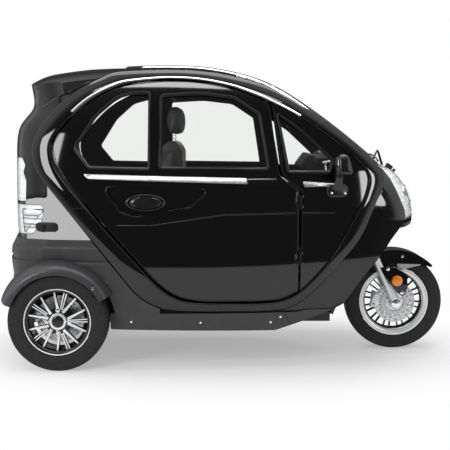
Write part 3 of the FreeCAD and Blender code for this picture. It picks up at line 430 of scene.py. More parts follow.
def tree_of(node):
    """Search tree over a node's faces, made once."""
    if node not in TREES:
        mesh = NODES[node].data
        TREES[node] = BVHTree.FromPolygons([vert.co for vert in mesh.vertices],
                                           [face.vertices for face in mesh.polygons])
    return TREES[node]


def face_at(nodes, start, towards):
    """Nearest place and normal of some nodes along a ray in millimetres, or nothing."""
    start, towards = Vector(start) * MM, Vector(towards).normalized()
    best = None
    for node in nodes:
        place, normal, index, away = tree_of(node).ray_cast(start, towards)
        if place is not None and (best is None or (place - start).length < (best[0] - start).length):
            best = (place, normal if normal.dot(towards) < 0 else -normal)
    return best


# Outlines: lists of (x, z) corners in millimetres, where a third number rounds the corner


def rounded(corners, steps=8):
    """Closed outline in metres with its corners rounded."""
    outline = []
    for index, corner in enumerate(corners):
        here = Vector(corner[:2]) * MM
        radius = corner[2] * MM if len(corner) > 2 else 0
        if not radius:
            outline.append(here)
            continue
        before = (Vector(corners[index - 1][:2]) * MM - here).normalized()
        after = (Vector(corners[(index + 1) % len(corners)][:2]) * MM - here).normalized()
        half_angle = before.angle(after) / 2
        run = radius / math.tan(half_angle)
        middle = here + (before + after).normalized() * (radius / math.sin(half_angle))
        start = here + before * run - middle
        turn = start.angle_signed(here + after * run - middle)
        for step in range(steps + 1):
            outline.append(middle + Matrix.Rotation(-turn * step / steps, 2) @ start)
    return outline


def grown(outline, distance):
    """Closed outline moved outwards by a distance; minus is inwards."""
    count = len(outline)
    area = sum(outline[i - 1].x * outline[i].y - outline[i].x * outline[i - 1].y for i in range(count))
    hand = 1 if area > 0 else -1
    spots = []
    for index, here in enumerate(outline):
        before = (here - outline[index - 1]).normalized()
        after = (outline[(index + 1) % count] - here).normalized()
        along = (before + after).normalized()
        spread = max(0.5, before.dot(along))
        spots.append(here + Vector((along.y, -along.x)) * (hand * distance / spread))
    return spots


def smooth_loop(corners):
    """Closed curve through (x, z) points in millimetres."""
    steps = 10
    spots = [Vector(corner) * MM for corner in corners]
    count = len(spots)
    curve = []
    for index in range(count):
        a, b, c, d = (spots[(index + shift) % count] for shift in (-1, 0, 1, 2))
        for step in range(steps):
            t = step / steps
            curve.append(0.5 * (2 * b + (c - a) * t + (2 * a - 5 * b + 4 * c - d) * t * t
                                + (3 * b - a - 3 * c + d) * t ** 3))
    return curve


def on_outline(outline, lift, sign):
    return [on_side(spot.x, spot.y, lift, sign) for spot in outline]


RING_OUTER = [
    (-557, 1476), (-347, 1484), (-160, 1479), (12, 1453), (186, 1401), (355, 1310), (520, 1200), (650, 1100),
    (762, 985), (776, 930), (742, 851), (656, 659), (566, 544), (486, 454), (389, 358), (300, 302),
    (190, 286), (10, 286), (-200, 288), (-324, 299), (-403, 330), (-460, 371), (-519, 439), (-600, 544),
    (-687, 653), (-779, 768), (-909, 925), (-962, 1002), (-981, 1090), (-963, 1164), (-914, 1237),
    (-841, 1321), (-743, 1395), (-640, 1446),
]
RING_INNER = [
    (-885, 1090), (-876, 1139), (-837, 1198), (-783, 1256), (-715, 1320), (-642, 1369), (-570, 1402),
    (-494, 1423), (-312, 1441), (-149, 1433), (-1, 1404), (97, 1370), (196, 1328), (344, 1252),
    (493, 1152), (594, 1072), (660, 1010), (689, 951), (675, 867), (625, 764), (545, 620), (484, 528),
    (404, 438), (330, 372), (263, 342), (191, 331), (13, 330), (-199, 340), (-280, 366), (-345, 411),
    (-400, 465), (-460, 533), (-587, 675), (-719, 824), (-795, 912), (-860, 1003),
]
RING_MIDDLE = Vector((-0.10, 0.87))
DOOR_GAP = 0.012


def reach_table(outline):
    """Reach of a loop round the ring's middle, by angle."""
    table = sorted((math.atan2(*(spot - RING_MIDDLE).yx), (spot - RING_MIDDLE).length) for spot in outline)
    first = (table[0][0] + math.tau, table[0][1])
    last = (table[-1][0] - math.tau, table[-1][1])
    return [last] + table + [first]


def reach_at(table, angle):
    angle = (angle + math.pi) % math.tau - math.pi
    for (start, near), (end, far) in zip(table, table[1:]):
        if start <= angle <= end:
            return near + (far - near) * (angle - start) / max(end - start, 1e-9)
    return table[-1][1]


OUTER_TABLE = reach_table(smooth_loop(RING_OUTER))
INNER_TABLE = reach_table(smooth_loop(RING_INNER))


def ring_spot(share, angle):
    """Place across the ring, from its inner edge at 0 to its outer edge at 1."""
    reach = reach_at(INNER_TABLE, angle) * (1 - share) + reach_at(OUTER_TABLE, angle) * share
    return RING_MIDDLE + Vector((math.cos(angle), math.sin(angle))) * reach


# Shapes


def add_loop(shape, spots, closed=True):
    """Edges through a row of places."""
    verts = [shape.verts.new(spot) for spot in spots]
    pairs = list(zip(verts, verts[1:]))
    if closed:
        pairs.append((verts[-1], verts[0]))
    return [shape.edges.new(pair) for pair in pairs]


def soften(shape, edges, reach, segments):
    """Edges rounded over."""
    bmesh.ops.bevel(shape, geom=edges, offset=reach, segments=segments, profile=0.5, affect="EDGES",
                    material=-1)


def banded(rows, closed=True, wrap=False, round_rows=(), reach=0.0, fill_last=False):
    """Surface bridged from row to row, with some of its rows rounded over."""
    shape = bmesh.new()
    loops = [add_loop(shape, row, closed) for row in rows]
    for first, second in zip(loops, loops[1:] + (loops[:1] if wrap else [])):
        bmesh.ops.bridge_loops(shape, edges=first + second)
    if fill_last:
        bmesh.ops.holes_fill(shape, edges=loops[-1], sides=0)
    if round_rows:
        soften(shape, [edge for row in round_rows for edge in loops[row]], reach, 4)
    return shape


def meshed(name, shape, body, material, angle):
    """Piece from a finished bmesh."""
    mesh = bpy.data.meshes.new(name)
    shape.to_mesh(mesh)
    shape.free()
    shade(mesh, angle)
    return new_piece(name, mesh, body, material)


def shaped_piece(name, shape, body, material, angle=38):
    """Piece made from a bmesh, its faces turned outwards."""
    bmesh.ops.remove_doubles(shape, verts=shape.verts, dist=0.01 * MM)
    bmesh.ops.recalc_face_normals(shape, faces=shape.faces)
    return meshed(name, shape, body, material, angle)


def bead(name, routes, radius, body, material, closed=True):
    """Round bead along one or more rows of places."""
    curve = bpy.data.curves.new(name, "CURVE")
    curve.dimensions = "3D"
    curve.bevel_depth = radius
    curve.bevel_resolution = 3
    curve.use_fill_caps = True
    for route in routes:
        spline = curve.splines.new("POLY")
        spline.points.add(len(route) - 1)
        for point, spot in zip(spline.points, route):
            point.co = (*spot, 1.0)
        spline.use_cyclic_u = closed
        spline.use_smooth = True
    return new_piece(name, curve, body, material)


def turned_shape(profile, segments, sign=1):
    """Solid of revolution about Y from (radius, outboard) corners, at the origin."""
    shape = bmesh.new()
    edges = add_loop(shape, [Vector((radius, sign * out, 0)) for radius, out in profile], closed=False)
    verts = list(dict.fromkeys(vert for edge in edges for vert in edge.verts))
    bmesh.ops.spin(shape, geom=verts + edges, cent=(0, 0, 0), axis=(0, 1, 0), dvec=(0, 0, 0),
                   angle=math.tau, steps=segments, use_merge=True, use_duplicate=False)
    bmesh.ops.remove_doubles(shape, verts=shape.verts, dist=0.01 * MM)
    return shape


def moved(shape, place, turn=None):
    """Shape turned about the origin and then set in its place."""
    if turn is not None:
        bmesh.ops.transform(shape, matrix=turn, verts=shape.verts)
    bmesh.ops.translate(shape, vec=place, verts=shape.verts)
    return shape


def joined(name, shapes, body, material, angle=38):
    """One piece from several bmeshes."""
    whole = bmesh.new()
    for shape in shapes:
        part = bpy.data.meshes.new("part")
        bmesh.ops.recalc_face_normals(shape, faces=shape.faces)
        shape.to_mesh(part)
        shape.free()
        whole.from_mesh(part)
        bpy.data.meshes.remove(part)
    return meshed(name, whole, body, material, angle)


def drawn_out(routes, move, dissolve=True):
    """Block filled between closed routes and drawn out by a move."""
    shape = bmesh.new()
    edges = [edge for route in routes for edge in add_loop(shape, route)]
    bmesh.ops.triangle_fill(shape, use_beauty=True, use_dissolve=dissolve, edges=edges)
    block = bmesh.ops.extrude_face_region(shape, geom=shape.faces[:])
    raised = [item for item in block["geom"] if isinstance(item, bmesh.types.BMVert)]
    bmesh.ops.translate(shape, vec=move, verts=raised)
    return shape


def stud(radius, height, sides=20, round_over=0.25):
    """Upright cylinder from the origin with its top edge rounded."""
    shape = bmesh.new()
    bmesh.ops.create_cone(shape, cap_ends=True, segments=sides, radius1=radius, radius2=radius, depth=height)
    bmesh.ops.translate(shape, vec=(0, 0, height / 2), verts=shape.verts)
    top = [edge for edge in shape.edges if all(vert.co.z > height * 0.99 for vert in edge.verts)]
    soften(shape, top, min(radius, height) * round_over, 3)
    return shape


def facing(normal):
    """Turn that stands +Z along a normal."""
    return Vector(normal).to_track_quat("Z", "Y").to_matrix().to_4x4()


def side_studs(name, places, radius, height, lift, sign, sides=20):
    """Row of bright screw heads standing on the side."""
    shapes = []
    for x, z in places:
        spot = on_side(x * MM, z * MM, lift, sign)
        shapes.append(moved(stud(radius, height, sides), spot, facing(outward(x * MM, z * MM, sign))))
    return joined(name, shapes, "car_body", CHROME)


# Side rings with rounded shoulders, and the trim that lies on them


RING_CREST = 0.0143
RING_CREASE = 0.0122
RING_HEM = 0.0040
RING_BACK = -0.036
CREASE_SHARE = 0.55


def ring_lift(share):
    """Stand of the ring's face: a flat inner facet and an outer one that falls away."""
    if share < CREASE_SHARE:
        return RING_CREST + (RING_CREASE - RING_CREST) * share / CREASE_SHARE
    return RING_CREASE + (RING_HEM - RING_CREASE) * (share - CREASE_SHARE) / (1 - CREASE_SHARE)


def across_ring(share, turn, lift, sign):
    return on_side(*ring_spot(share, turn), lift, sign)


def add_ring(side, sign):
    turns = [math.tau * step / 288 for step in range(288)]
    section = ((1, RING_BACK), (1, RING_HEM), (CREASE_SHARE, RING_CREASE), (0, RING_CREST), (0, RING_BACK))
    rows = [[across_ring(share, turn, lift, sign) for turn in turns] for share, lift in section]
    shape = banded(rows, wrap=True, round_rows=(1, 2, 3), reach=0.008)
    ring = shaped_piece("ring_" + side, shape, "car_body", PAINT)
    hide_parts("side_ring_" + side)


def add_roof_rail(side, sign):
    """Crowned bright strip along the ring's inner edge, over the doors."""
    turns = [math.radians(149 - 108 * step / 120) for step in range(121)]
    near, far = 0.03, 0.22
    section = ((near, -0.008), (near, 0.001), ((near + far) / 2, 0.0045), (far, 0.001), (far, -0.008))
    rows = [[across_ring(share, turn, ring_lift(share) + rise, sign) for turn in turns]
            for share, rise in section]
    shape = banded(rows, closed=False, round_rows=(1, 3), reach=0.001)
    shaped_piece("roof_rail_" + side, shape, "car_body", SATIN_CHROME)


def ring_joints(side, sign):
    """Dark hairlines where the ring's mouldings butt."""
    shares = [step / 12 for step in range(1, 12)]
    routes = [[across_ring(share, math.radians(turn), ring_lift(share) - 0.0006, sign) for share in shares]
              for turn in (185.6, -60.9, 33)]
    bead("ring_joints_" + side, routes, 0.0012, "car_body", SEAL, closed=False)


for side, sign in SIDES:
    add_ring(side, sign)
    add_roof_rail(side, sign)
    ring_joints(side, sign)


# Doors: hemmed edges, window seals, belt moulding and handle

REAR_LIGHT = [
    (-393, 1374, 14), (-393, 994, 14), (-695, 1001, 30), (-771, 1100, 30), (-665, 1261, 120),
    (-560, 1352, 90), (-480, 1374, 60),
]
FRONT_LIGHT = [
    (-345, 1361, 24), (-347, 1000, 14), (192, 994, 16), (148, 1268, 30), (20, 1352, 90), (-149, 1372, 300),
]
FIXED_LIGHT = [(226, 1276, 8), (283, 980, 8), (495, 978, 18), (512, 1040, 20), (345, 1196, 60)]
HEM_INSET = 0.004
# Heights of the door's front edge between the hinges, the belt and the roof
EDGE_RUNS = ((0.385, 0.518), (0.602, 0.798), (0.882, 0.890), (0.8905, 1.372))
DOOR_FRONT = [(160, 1420), (178, 1360), (198, 1276), (236, 985), (250, 955), (338, 890), (338, 290)]


def front_edge(z):
    """Setting-out of the door's front edge."""
    for (x_high, high), (x_low, low) in zip(DOOR_FRONT, DOOR_FRONT[1:]):
        if low * MM <= z <= high * MM:
            return (x_low + (x_high - x_low) * (z / MM - low) / (high - low)) * MM
    return DOOR_FRONT[0][0] * MM if z > 1 else DOOR_FRONT[-1][0] * MM


def hem_routes(keep_door, inset):
    """Edge of the door, or of the fixed quarter, as open rows of (x, z)."""
    loop = grown(smooth_loop(RING_INNER), -inset)
    if keep_door:
        inside = [spot.x < front_edge(spot.y) - HEM_INSET for spot in loop]
    else:
        inside = [spot.x > front_edge(spot.y) + HEM_INSET + DOOR_GAP for spot in loop]
    start = next(i for i in range(len(loop)) if inside[i] and not inside[i - 1])
    rim = [loop[(start + step) % len(loop)] for step in range(len(loop)) if inside[(start + step) % len(loop)]]
    shift = -HEM_INSET if keep_door else DOOR_GAP + HEM_INSET
    edges = []
    for low, high in EDGE_RUNS:
        steps = max(2, round((high - low) / 0.01))
        edges.append([(front_edge(low + (high - low) * i / steps) + shift, low + (high - low) * i / steps)
                      for i in range(steps + 1)])
    return [[(spot.x, spot.y) for spot in rim]] + edges


def add_hem(name, keep_door, side, sign, body):
    """Folded edge of the door, or of the fixed quarter in front of it."""
    inset = DOOR_GAP + HEM_INSET if keep_door else 0.0045
    routes = [[on_side(x, z, -0.0045, sign) for x, z in route] for route in hem_routes(keep_door, inset)]
    bead(name + "_" + side, routes, 0.0052, body, PAINT, closed=False)


def window_seal(name, corners, sign, body):
    """Rubber round a pane: an outer lip, a sloping band and an inner lip on the glass."""
    edge = rounded(corners)
    bead(name + "_lip", [on_outline(grown(edge, -0.002), 0.0005, sign)], 0.0055, body, SEAL)
    rows = [on_outline(grown(edge, -0.001), -0.004, sign), on_outline(grown(edge, -0.009), -0.012, sign)]
    rows.append(on_outline(grown(edge, -0.012), -0.0158, sign))
    shaped_piece(name + "_band", banded(rows, round_rows=(1,), reach=0.002), body, SEAL)


STRIP_STEPS = 60


def side_strip(name, low, high, height, sign, body, material, lean=False):
    """Moulding between a lower and an upper line of (x, z) points in millimetres: crowned, or leant back."""
    def along(line, share):
        x = line[0][0] + (line[-1][0] - line[0][0]) * share
        for (x_from, z_from), (x_to, z_to) in zip(line, line[1:]):
            if x <= x_to + 1e-6:
                return x * MM, (z_from + (z_to - z_from) * (x - x_from) / max(x_to - x_from, 1e-6)) * MM
        return line[-1][0] * MM, line[-1][1] * MM

    section = ((0, -0.004), (0, height * 0.55), (0.5, height), (1, height * 0.55), (1, -0.004))
    if lean:
        section = ((0, -0.004), (0, height), (0.5, height * 0.6), (1, height * 0.2), (1, -0.004))
    rows = []
    for share, rise in section:
        rows.append([])
        for step in range(STRIP_STEPS + 1):
            x_low, z_low = along(low, step / STRIP_STEPS)
            x_high, z_high = along(high, step / STRIP_STEPS)
            x, z = x_low + (x_high - x_low) * share, z_low + (z_high - z_low) * share
            rows[-1].append(on_side(x, z, rise, sign))
    shape = banded(rows, closed=False, round_rows=(1, 3), reach=0.0015)
    bmesh.ops.holes_fill(shape, edges=[edge for edge in shape.edges if edge.is_boundary], sides=0)
    return shaped_piece(name, shape, body, material)


def ellipse(x, z, wide, high, count):
    """Closed row of (x, z) places."""
    turns = [math.tau * index / count for index in range(count)]
    return [(x + wide * math.cos(turn), z + high * math.sin(turn)) for turn in turns]


def oval(scale):
    """Outline of the door handle, drawn in by a scale."""
    return [Vector(spot) for spot in ellipse(-0.413, 0.836, 0.100 * scale, 0.041 * scale, 56)]


def add_handle(side, sign):
    """Oval handle: a rolled bezel round a crowned pull flap."""
    section = ((1.0, -0.017), (1.0, 0.001), (0.96, 0.006), (0.90, 0.007), (0.85, 0.003), (0.84, -0.006),
               (0.81, -0.006), (0.80, 0.002), (0.76, 0.0055), (0.5, 0.0075), (0.2, 0.008))
    shape = banded([on_outline(oval(scale), lift, sign) for scale, lift in section], fill_last=True)
    handle = shaped_piece("pull_handle_" + side, shape, side + "_door", GLOSS_ABS, 50)
    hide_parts("door_handle_" + side)


def door_edge_roll(side, sign):
    """Turned edge of the door's front, a facet that catches the light."""
    heights = [0.385 + (0.885 - 0.385) * step / 60 for step in range(61)]
    section = ((-0.014, -0.0006), (-0.0105, 0.0022), (-0.0015, 0.0002), (-0.0005, -0.002))
    rows = [[on_side(front_edge(z) + across, z, rise, sign) for z in heights] for across, rise in section]
    shape = banded(rows, closed=False)
    return shaped_piece("door_edge_roll_" + side, shape, side + "_door", PAINT, 60)


RECESS = [(-626, 911, 20), (-105, 896, 12), (-196, 815, 30), (-460, 768, 60), (-536, 790, 30)]

for side, sign in SIDES:
    door_body = side + "_door"
    add_hem("door_hem", True, side, sign, door_body)
    add_hem("quarter_hem", False, side, sign, "car_body")
    window_seal("rear_door_seal_" + side, REAR_LIGHT, sign, door_body)
    window_seal("front_door_seal_" + side, FRONT_LIGHT, sign, door_body)
    window_seal("fixed_seal_" + side, FIXED_LIGHT, sign, "car_body")
    side_strip("door_belt_" + side, [(-712, 966), (-694, 950), (84, 926)],
               [(-714, 973), (-690, 972), (76, 954)], 0.0105, sign, door_body, SATIN_CHROME, lean=True)
    side_strip("door_belt_end_" + side, [(87, 926), (240, 917)], [(79, 954), (228, 951)], 0.0095, sign,
               door_body, PAINT, lean=True)
    side_strip("quarter_belt_" + side, [(366, 909), (568, 914)], [(358, 936), (568, 920)], 0.008, sign,
               "car_body", SATIN_CHROME, lean=True)
    bead("recess_edge_" + side, [on_outline(grown(rounded(RECESS), 0.003), -0.0035, sign)], 0.0045, door_body,
         PAINT)
    add_handle(side, sign)
    door_edge_roll(side, sign)
    side_strip("door_crease_" + side, [(-556, 722), (-386, 722), (-30, 772), (330, 777)],
               [(-556, 726), (-386, 727), (-30, 779), (330, 785)], 0.0022, sign, door_body, PAINT)
    side_strip("quarter_crease_" + side, [(356, 777), (520, 777)], [(356, 785), (520, 784)], 0.0022, sign,
               "car_body", PAINT)


# Wheels

# Outer radius, radius of the rim's flange and half width; the tyres stand on the ground
REAR_RADIUS, REAR_FLANGE, REAR_HALF = 0.248, 0.167, 0.070
FRONT_RADIUS, FRONT_FLANGE, FRONT_HALF = 0.262, 0.187, 0.060
REAR_AXLE = Vector((-0.851, 0, REAR_RADIUS))
FRONT_AXLE = Vector((0.894, 0, FRONT_RADIUS))


def tyre_profile(radius, flange, half):
    """Section from the right bead over the tread to the left one."""
    rise = radius - flange
    wall = [(0.80, 0.02), (0.90, 0.06), (0.955, 0.20), (0.985, 0.30), (0.99, 0.33), (0.978, 0.36), (1.0, 0.50),
            (0.998, 0.60), (0.985, 0.68), (0.992, 0.71), (0.975, 0.76), (0.94, 0.84), (0.90, 0.90),
            (0.84, 0.945)]
    crown = [(0.74, 0.972), (0.58, 0.985), (0.42, 0.994), (0.41, 0.93), (0.33, 0.93), (0.32, 0.998),
             (0.16, 1.0), (0.05, 1.0), (0.04, 0.94)]
    right = [(flange + rise * up, half * out) for out, up in wall + crown]
    return right + [(place, -out) for place, out in reversed(right)]


TYRE_STEPS = 180
SLOT_DEPTH = 0.0026


def add_tyre(name, node, body, middle, radius, flange, half):
    """Tyre with circumferential grooves and slots cut across its shoulders."""
    shape = turned_shape(tyre_profile(radius, flange + 0.001, half), TYRE_STEPS)
    rise = radius - flange
    slots = []
    for face in shape.faces:
        centre = face.calc_center_median()
        reach = math.hypot(centre.x, centre.z)
        turn = math.atan2(centre.z, centre.x) % math.tau
        step = int(turn / math.tau * TYRE_STEPS)
        across = abs(centre.y) / half
        height = (reach - flange) / rise
        slant = step + int((height + 0.8 * (1 - across)) * 26)
        outer = slant % 12 < 1 and across > 0.43 and height > 0.69
        inner = step % 6 == 2 and 0.06 < across < 0.31 and height > 0.97
        if outer or inner:
            slots.append(face)
    cut = bmesh.ops.extrude_face_region(shape, geom=slots)
    bmesh.ops.delete(shape, geom=slots, context="FACES_ONLY")
    for vert in cut["geom"]:
        if isinstance(vert, bmesh.types.BMVert):
            vert.co -= Vector((vert.co.x, 0, vert.co.z)).normalized() * SLOT_DEPTH
    tyre = shaped_piece(name, moved(shape, middle), body, TYRE, 32)
    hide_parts(node)


def barrel(flange, half, sign):
    """Rim barrel with bead seats and a drop centre."""
    outer = [(0, 0.82), (0, 0.70), (-0.014, 0.66), (-0.015, 0.30), (-0.030, 0.18), (-0.030, -0.20),
             (-0.015, -0.34), (-0.014, -0.66), (0, -0.70), (0, -0.82)]
    inner = [(-0.006, -0.82), (-0.0195, -0.70), (-0.021, -0.34), (-0.036, -0.20), (-0.036, 0.14),
             (-0.021, 0.30), (-0.020, 0.62), (-0.006, 0.80)]
    profile = [(flange + rise, half * out) for rise, out in outer + inner]
    return turned_shape(profile + profile[:1], 96, sign)


def bar(start, end, width_in, width_out, levels, sign):
    """Straight spoke bar between two (radius, degrees) places, with softened edges."""
    foot, tip = (Vector((reach * math.cos(math.radians(turn)), 0, reach * math.sin(math.radians(turn))))
                 for reach, turn in (start, end))
    across = (tip - foot).cross(Vector((0, 1, 0))).normalized()
    shape = bmesh.new()
    bmesh.ops.create_cube(shape, size=2.0)
    for vert in shape.verts:
        spot, width = (foot, width_in) if vert.co.x < 0 else (tip, width_out)
        height = levels[0] if vert.co.y < 0 else levels[1]
        vert.co = spot + across * (width * vert.co.z) + Vector((0, sign * height, 0))
    soften(shape, shape.edges[:], 0.0008, 2)
    return shape


def polished_lip(name, body, middle, sign, profile):
    """Bright ring turned from a closed section."""
    shape = moved(turned_shape(profile + profile[:1], 96, sign), middle)
    return shaped_piece(name, shape, body, MACHINED, 30)


def rear_wheel(side, sign, body, middle):
    """Black five-spoke wheel: each spoke a split centre bar between two slanted ones, faces turned bright."""
    dark = [barrel(REAR_FLANGE, REAR_HALF, sign)]
    bright = []
    spoke, face = (0.020, 0.0375), (0.030, 0.0400)
    for group in range(5):
        turn = 2 + 72 * group
        dark.append(bar((0.055, turn), (0.150, turn), 0.0085, 0.0100, spoke, sign))
        for shift in (-2.6, 2.6):
            bright.append(bar((0.062, turn + shift * 1.5), (0.1500, turn + shift), 0.0028, 0.0029, face, sign))
        for hand in (-1, 1):
            start, tip = turn + hand * 13, (0.150, turn + hand * 22)
            dark.append(bar((0.048, start), tip, 0.0068, 0.0055, spoke, sign))
            bright.append(bar((0.050, start), tip, 0.0072, 0.0034, face, sign))
    hub = [(0.016, 0.014), (0.064, 0.014), (0.066, 0.018), (0.066, 0.030), (0.062, 0.035), (0.046, 0.0375),
           (0.016, 0.0375), (0.016, 0.014)]
    dark.append(turned_shape(hub, 72, sign))
    for part in dark + bright:
        moved(part, middle)
    wheel = joined("rear_wheel_" + side, dark, body, WHEEL_BLACK, 35)
    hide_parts("rear_rim_" + side)
    joined("rear_wheel_faces_" + side, bright, body, MACHINED, 35)
    polished_lip("rear_wheel_lip_" + side, body, middle, sign,
                 [(0.1610, 0.0572), (0.1610, 0.0590), (0.1625, 0.0602), (0.1655, 0.0602), (0.1672, 0.0588),
                  (0.1672, 0.0572)])


def front_wheel(body, middle):
    """Black wheel of slim paired spokes inside a broad polished lip."""
    dark = [barrel(FRONT_FLANGE, FRONT_HALF, 1)]
    for turn in range(0, 360, 30):
        for start, end, wide in ((-3, -5, 0.0045), (9, 13, 0.0040)):
            dark.append(bar((0.044, turn + start), (0.168, turn + end), wide, wide * 0.85, (-0.008, 0.008), 1))
    hub = [(0.016, -0.040), (0.040, -0.040), (0.052, -0.016), (0.052, 0.016), (0.040, 0.040), (0.016, 0.040),
           (0.016, -0.040)]
    dark.append(turned_shape(hub, 72))
    for part in dark:
        moved(part, middle)
    wheel = joined("front_wheel_spokes", dark, body, WHEEL_BLACK, 35)
    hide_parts("front_rim")
    for sign, name in ((-1, "front_wheel_lip_right"), (1, "front_wheel_lip_left")):
        polished_lip(name, body, middle, sign, [
            (0.1575, 0.0250), (0.1590, 0.0390), (0.1650, 0.0450), (0.1760, 0.0478), (0.1800, 0.0520),
            (0.1870, 0.0524), (0.1872, 0.0500), (0.1800, 0.0440), (0.1640, 0.0250)])


def hub_cap(name, body, middle, sign, radius, stand):
    """Blank domed cap."""
    profile = [(radius, 0), (radius, stand * 0.5), (radius * 0.93, stand * 0.85), (radius * 0.6, stand),
               (radius * 0.2, stand * 1.06), (0.0004, stand * 1.07)]
    shape = moved(turned_shape(profile, 48, sign), middle)
    return shaped_piece(name, shape, body, GLOSS_ABS, 50)


def lug_nuts(name, body, middle, sign, circle, count, start, reach, height):
    """Circle of nuts, each on its washer."""
    shapes = []
    for index in range(count):
        turn = start + math.tau * index / count
        spot = middle + Vector((circle * math.cos(turn), 0, circle * math.sin(turn)))
        shapes.append(moved(stud(reach * 1.35, height * 0.35, 24), spot, facing((0, sign, 0))))
        shapes.append(moved(stud(reach, height, 6, 0.12), spot, facing((0, sign, 0))))
    return joined(name, shapes, body, CHROME, 30)


def drilled_disc(name, body, middle, inner, outer, wall, rows):
    """Brake disc with rows of (circle, hole, count, start) holes through it."""
    rings = [(0.0, 0.0, radius, radius, 96) for radius in (outer, inner)]
    for circle, hole, count, start in rows:
        turns = [start + math.tau * index / count for index in range(count)]
        rings += [(circle * math.cos(turn), circle * math.sin(turn), hole, hole, 10) for turn in turns]
    routes = [[Vector((x, 0, z)) for x, z in ellipse(*ring)] for ring in rings]
    shape = moved(drawn_out(routes, (0, wall, 0), dissolve=False), middle - Vector((0, wall / 2, 0)))
    return shaped_piece(name, shape, body, STEEL, 30)


def caliper(name, body, middle, turn, reach, sign, width):
    """Brake caliper: a rounded saddle over the disc's edge, with two bolts."""
    shape = bmesh.new()
    bmesh.ops.create_cube(shape, size=1.0)
    bmesh.ops.scale(shape, vec=(0.042, width, 0.096), verts=shape.verts)
    inner = [vert for vert in shape.verts if vert.co.x < 0]
    bmesh.ops.scale(shape, vec=(1, 1, 0.72), verts=inner)
    soften(shape, shape.edges[:], 0.006, 3)
    shapes = [shape]
    for along in (-0.028, 0.028):
        shapes.append(moved(stud(0.010, 0.007), Vector((0.002, sign * width / 2, along)), facing((0, sign, 0))))
    for part in shapes:
        moved(part, Vector((reach, 0, 0)))
        moved(part, middle, Matrix.Rotation(-math.radians(turn), 4, "Y"))
    return joined(name, shapes, body, CAST_ALLOY)


WHEEL_OUT = 0.450

for side, sign in SIDES:
    wheel = side + "_rear_wheel"
    middle = REAR_AXLE + Vector((0, sign * WHEEL_OUT, 0))
    add_tyre("rear_tread_" + side, "rear_tyre_" + side, wheel, middle, REAR_RADIUS, REAR_FLANGE, REAR_HALF)
    rear_wheel(side, sign, wheel, middle)
    face = middle + Vector((0, sign * 0.036, 0))
    hub_cap("rear_cap_" + side, wheel, face, sign, 0.031, 0.009)
    polished_lip("rear_cap_ring_" + side, wheel, face, sign,
                 [(0.030, 0.0), (0.030, 0.008), (0.032, 0.010), (0.040, 0.009), (0.043, 0.005), (0.043, 0.0)])
    seat = middle + Vector((0, sign * 0.034, 0))
    lug_nuts("rear_lug_nuts_" + side, wheel, seat, sign, 0.056, 4, 0, 0.0085, 0.012)
    inboard = middle - Vector((0, sign * 0.032, 0))
    drilled_disc("rear_disc_" + side, wheel, inboard, 0.034, 0.118, 0.005,
                 [(0.100, 0.0035, 24, 0.0), (0.086, 0.0035, 24, 0.13)])
    caliper("rear_caliper_" + side, "car_body", inboard, 168, 0.112, sign, 0.030)

add_tyre("front_tread", "front_tyre", "front_wheel", FRONT_AXLE, FRONT_RADIUS, FRONT_FLANGE, FRONT_HALF)
front_wheel("front_wheel", FRONT_AXLE)
front_rows = [(0.098, 0.0038, 30, 0.0), (0.086, 0.0038, 30, 0.105), (0.076, 0.0034, 30, 0.0)]
front_disc = drilled_disc("front_brake_disc", "front_wheel", FRONT_AXLE + Vector((0, -0.0685, 0)), 0.052, 0.110,
                          0.005, front_rows)
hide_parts("front_disc")
carrier = [(0.017, 0.060), (0.017, 0.0680), (0.030, 0.0700), (0.054, 0.0665), (0.056, 0.0650), (0.030, 0.0600)]
shape = moved(turned_shape(carrier, 60, -1), FRONT_AXLE)
shaped_piece("front_disc_carrier", shape, "front_wheel", CAST_ALLOY)
seat = FRONT_AXLE + Vector((0, -0.066, 0))
lug_nuts("front_disc_bolts", "front_wheel", seat, -1, 0.042, 5, 0.3, 0.005, 0.006)


# Fork dress: side plate with an amber reflector, axle nuts, a front caliper, and the fender's accent

AMBER_SPOT = (0.894, 0.3878)


def flat_plate(corners, thick, y, sign):
    """Plate of an (x, z) outline in millimetres, standing outboard from y."""
    return drawn_out([[Vector((spot.x, sign * y, spot.y)) for spot in rounded(corners)]], (0, sign * thick, 0))


def fork_side(side, sign):
    """Side plate with its amber reflector on a boss, and the bolts of the fork."""
    out = facing((0, sign, 0))
    plate = flat_plate([(800, 462, 8), (884, 458, 8), (948, 424, 14), (952, 352, 12), (930, 296, 14),
                        (890, 330, 20), (832, 400, 20)], 0.003, 0.1260, sign)
    edge = [item for item in plate.edges if item.calc_face_angle(0) > 1.0]
    soften(plate, edge, 0.0008, 2)
    joined("reflector_plate_" + side, [plate], "steering", PAINT, 30)
    x, z = AMBER_SPOT
    stem = moved(stud(0.012, 0.012), Vector((x, sign * 0.1180, z)), out)
    joined("reflector_boss_" + side, [stem], "steering", BLACK_ABS)
    lamp = turned_shape([(0.029, 0.0), (0.029, 0.006), (0.027, 0.0085), (0.020, 0.0105), (0.010, 0.0115),
                         (0.0003, 0.012)], 48, sign)
    moved(lamp, Vector((x, sign * 0.1292, z)))
    shaped_piece("amber_reflector_" + side, lamp, "steering", AMBER, 40)
    bolts = []
    for place, head, washer in (((0.845, 0.1288, 0.4528), (0.0075, 0.006, 6, 0.15), (0.0105, 0.002, 24, 0.2)),
                                ((0.9224, 0.1288, 0.3242), (0.0075, 0.006, 6, 0.15), (0.0105, 0.002, 24, 0.2)),
                                ((0.894, 0.120, 0.262), (0.016, 0.012, 6, 0.12), (0.024, 0.003, 32, 0.2))):
        spot = Vector((place[0], sign * place[1], place[2]))
        bolts += [moved(stud(*head), spot, out), moved(stud(*washer), spot, out)]
    joined("fork_bolts_" + side, bolts, "steering", CHROME, 30)


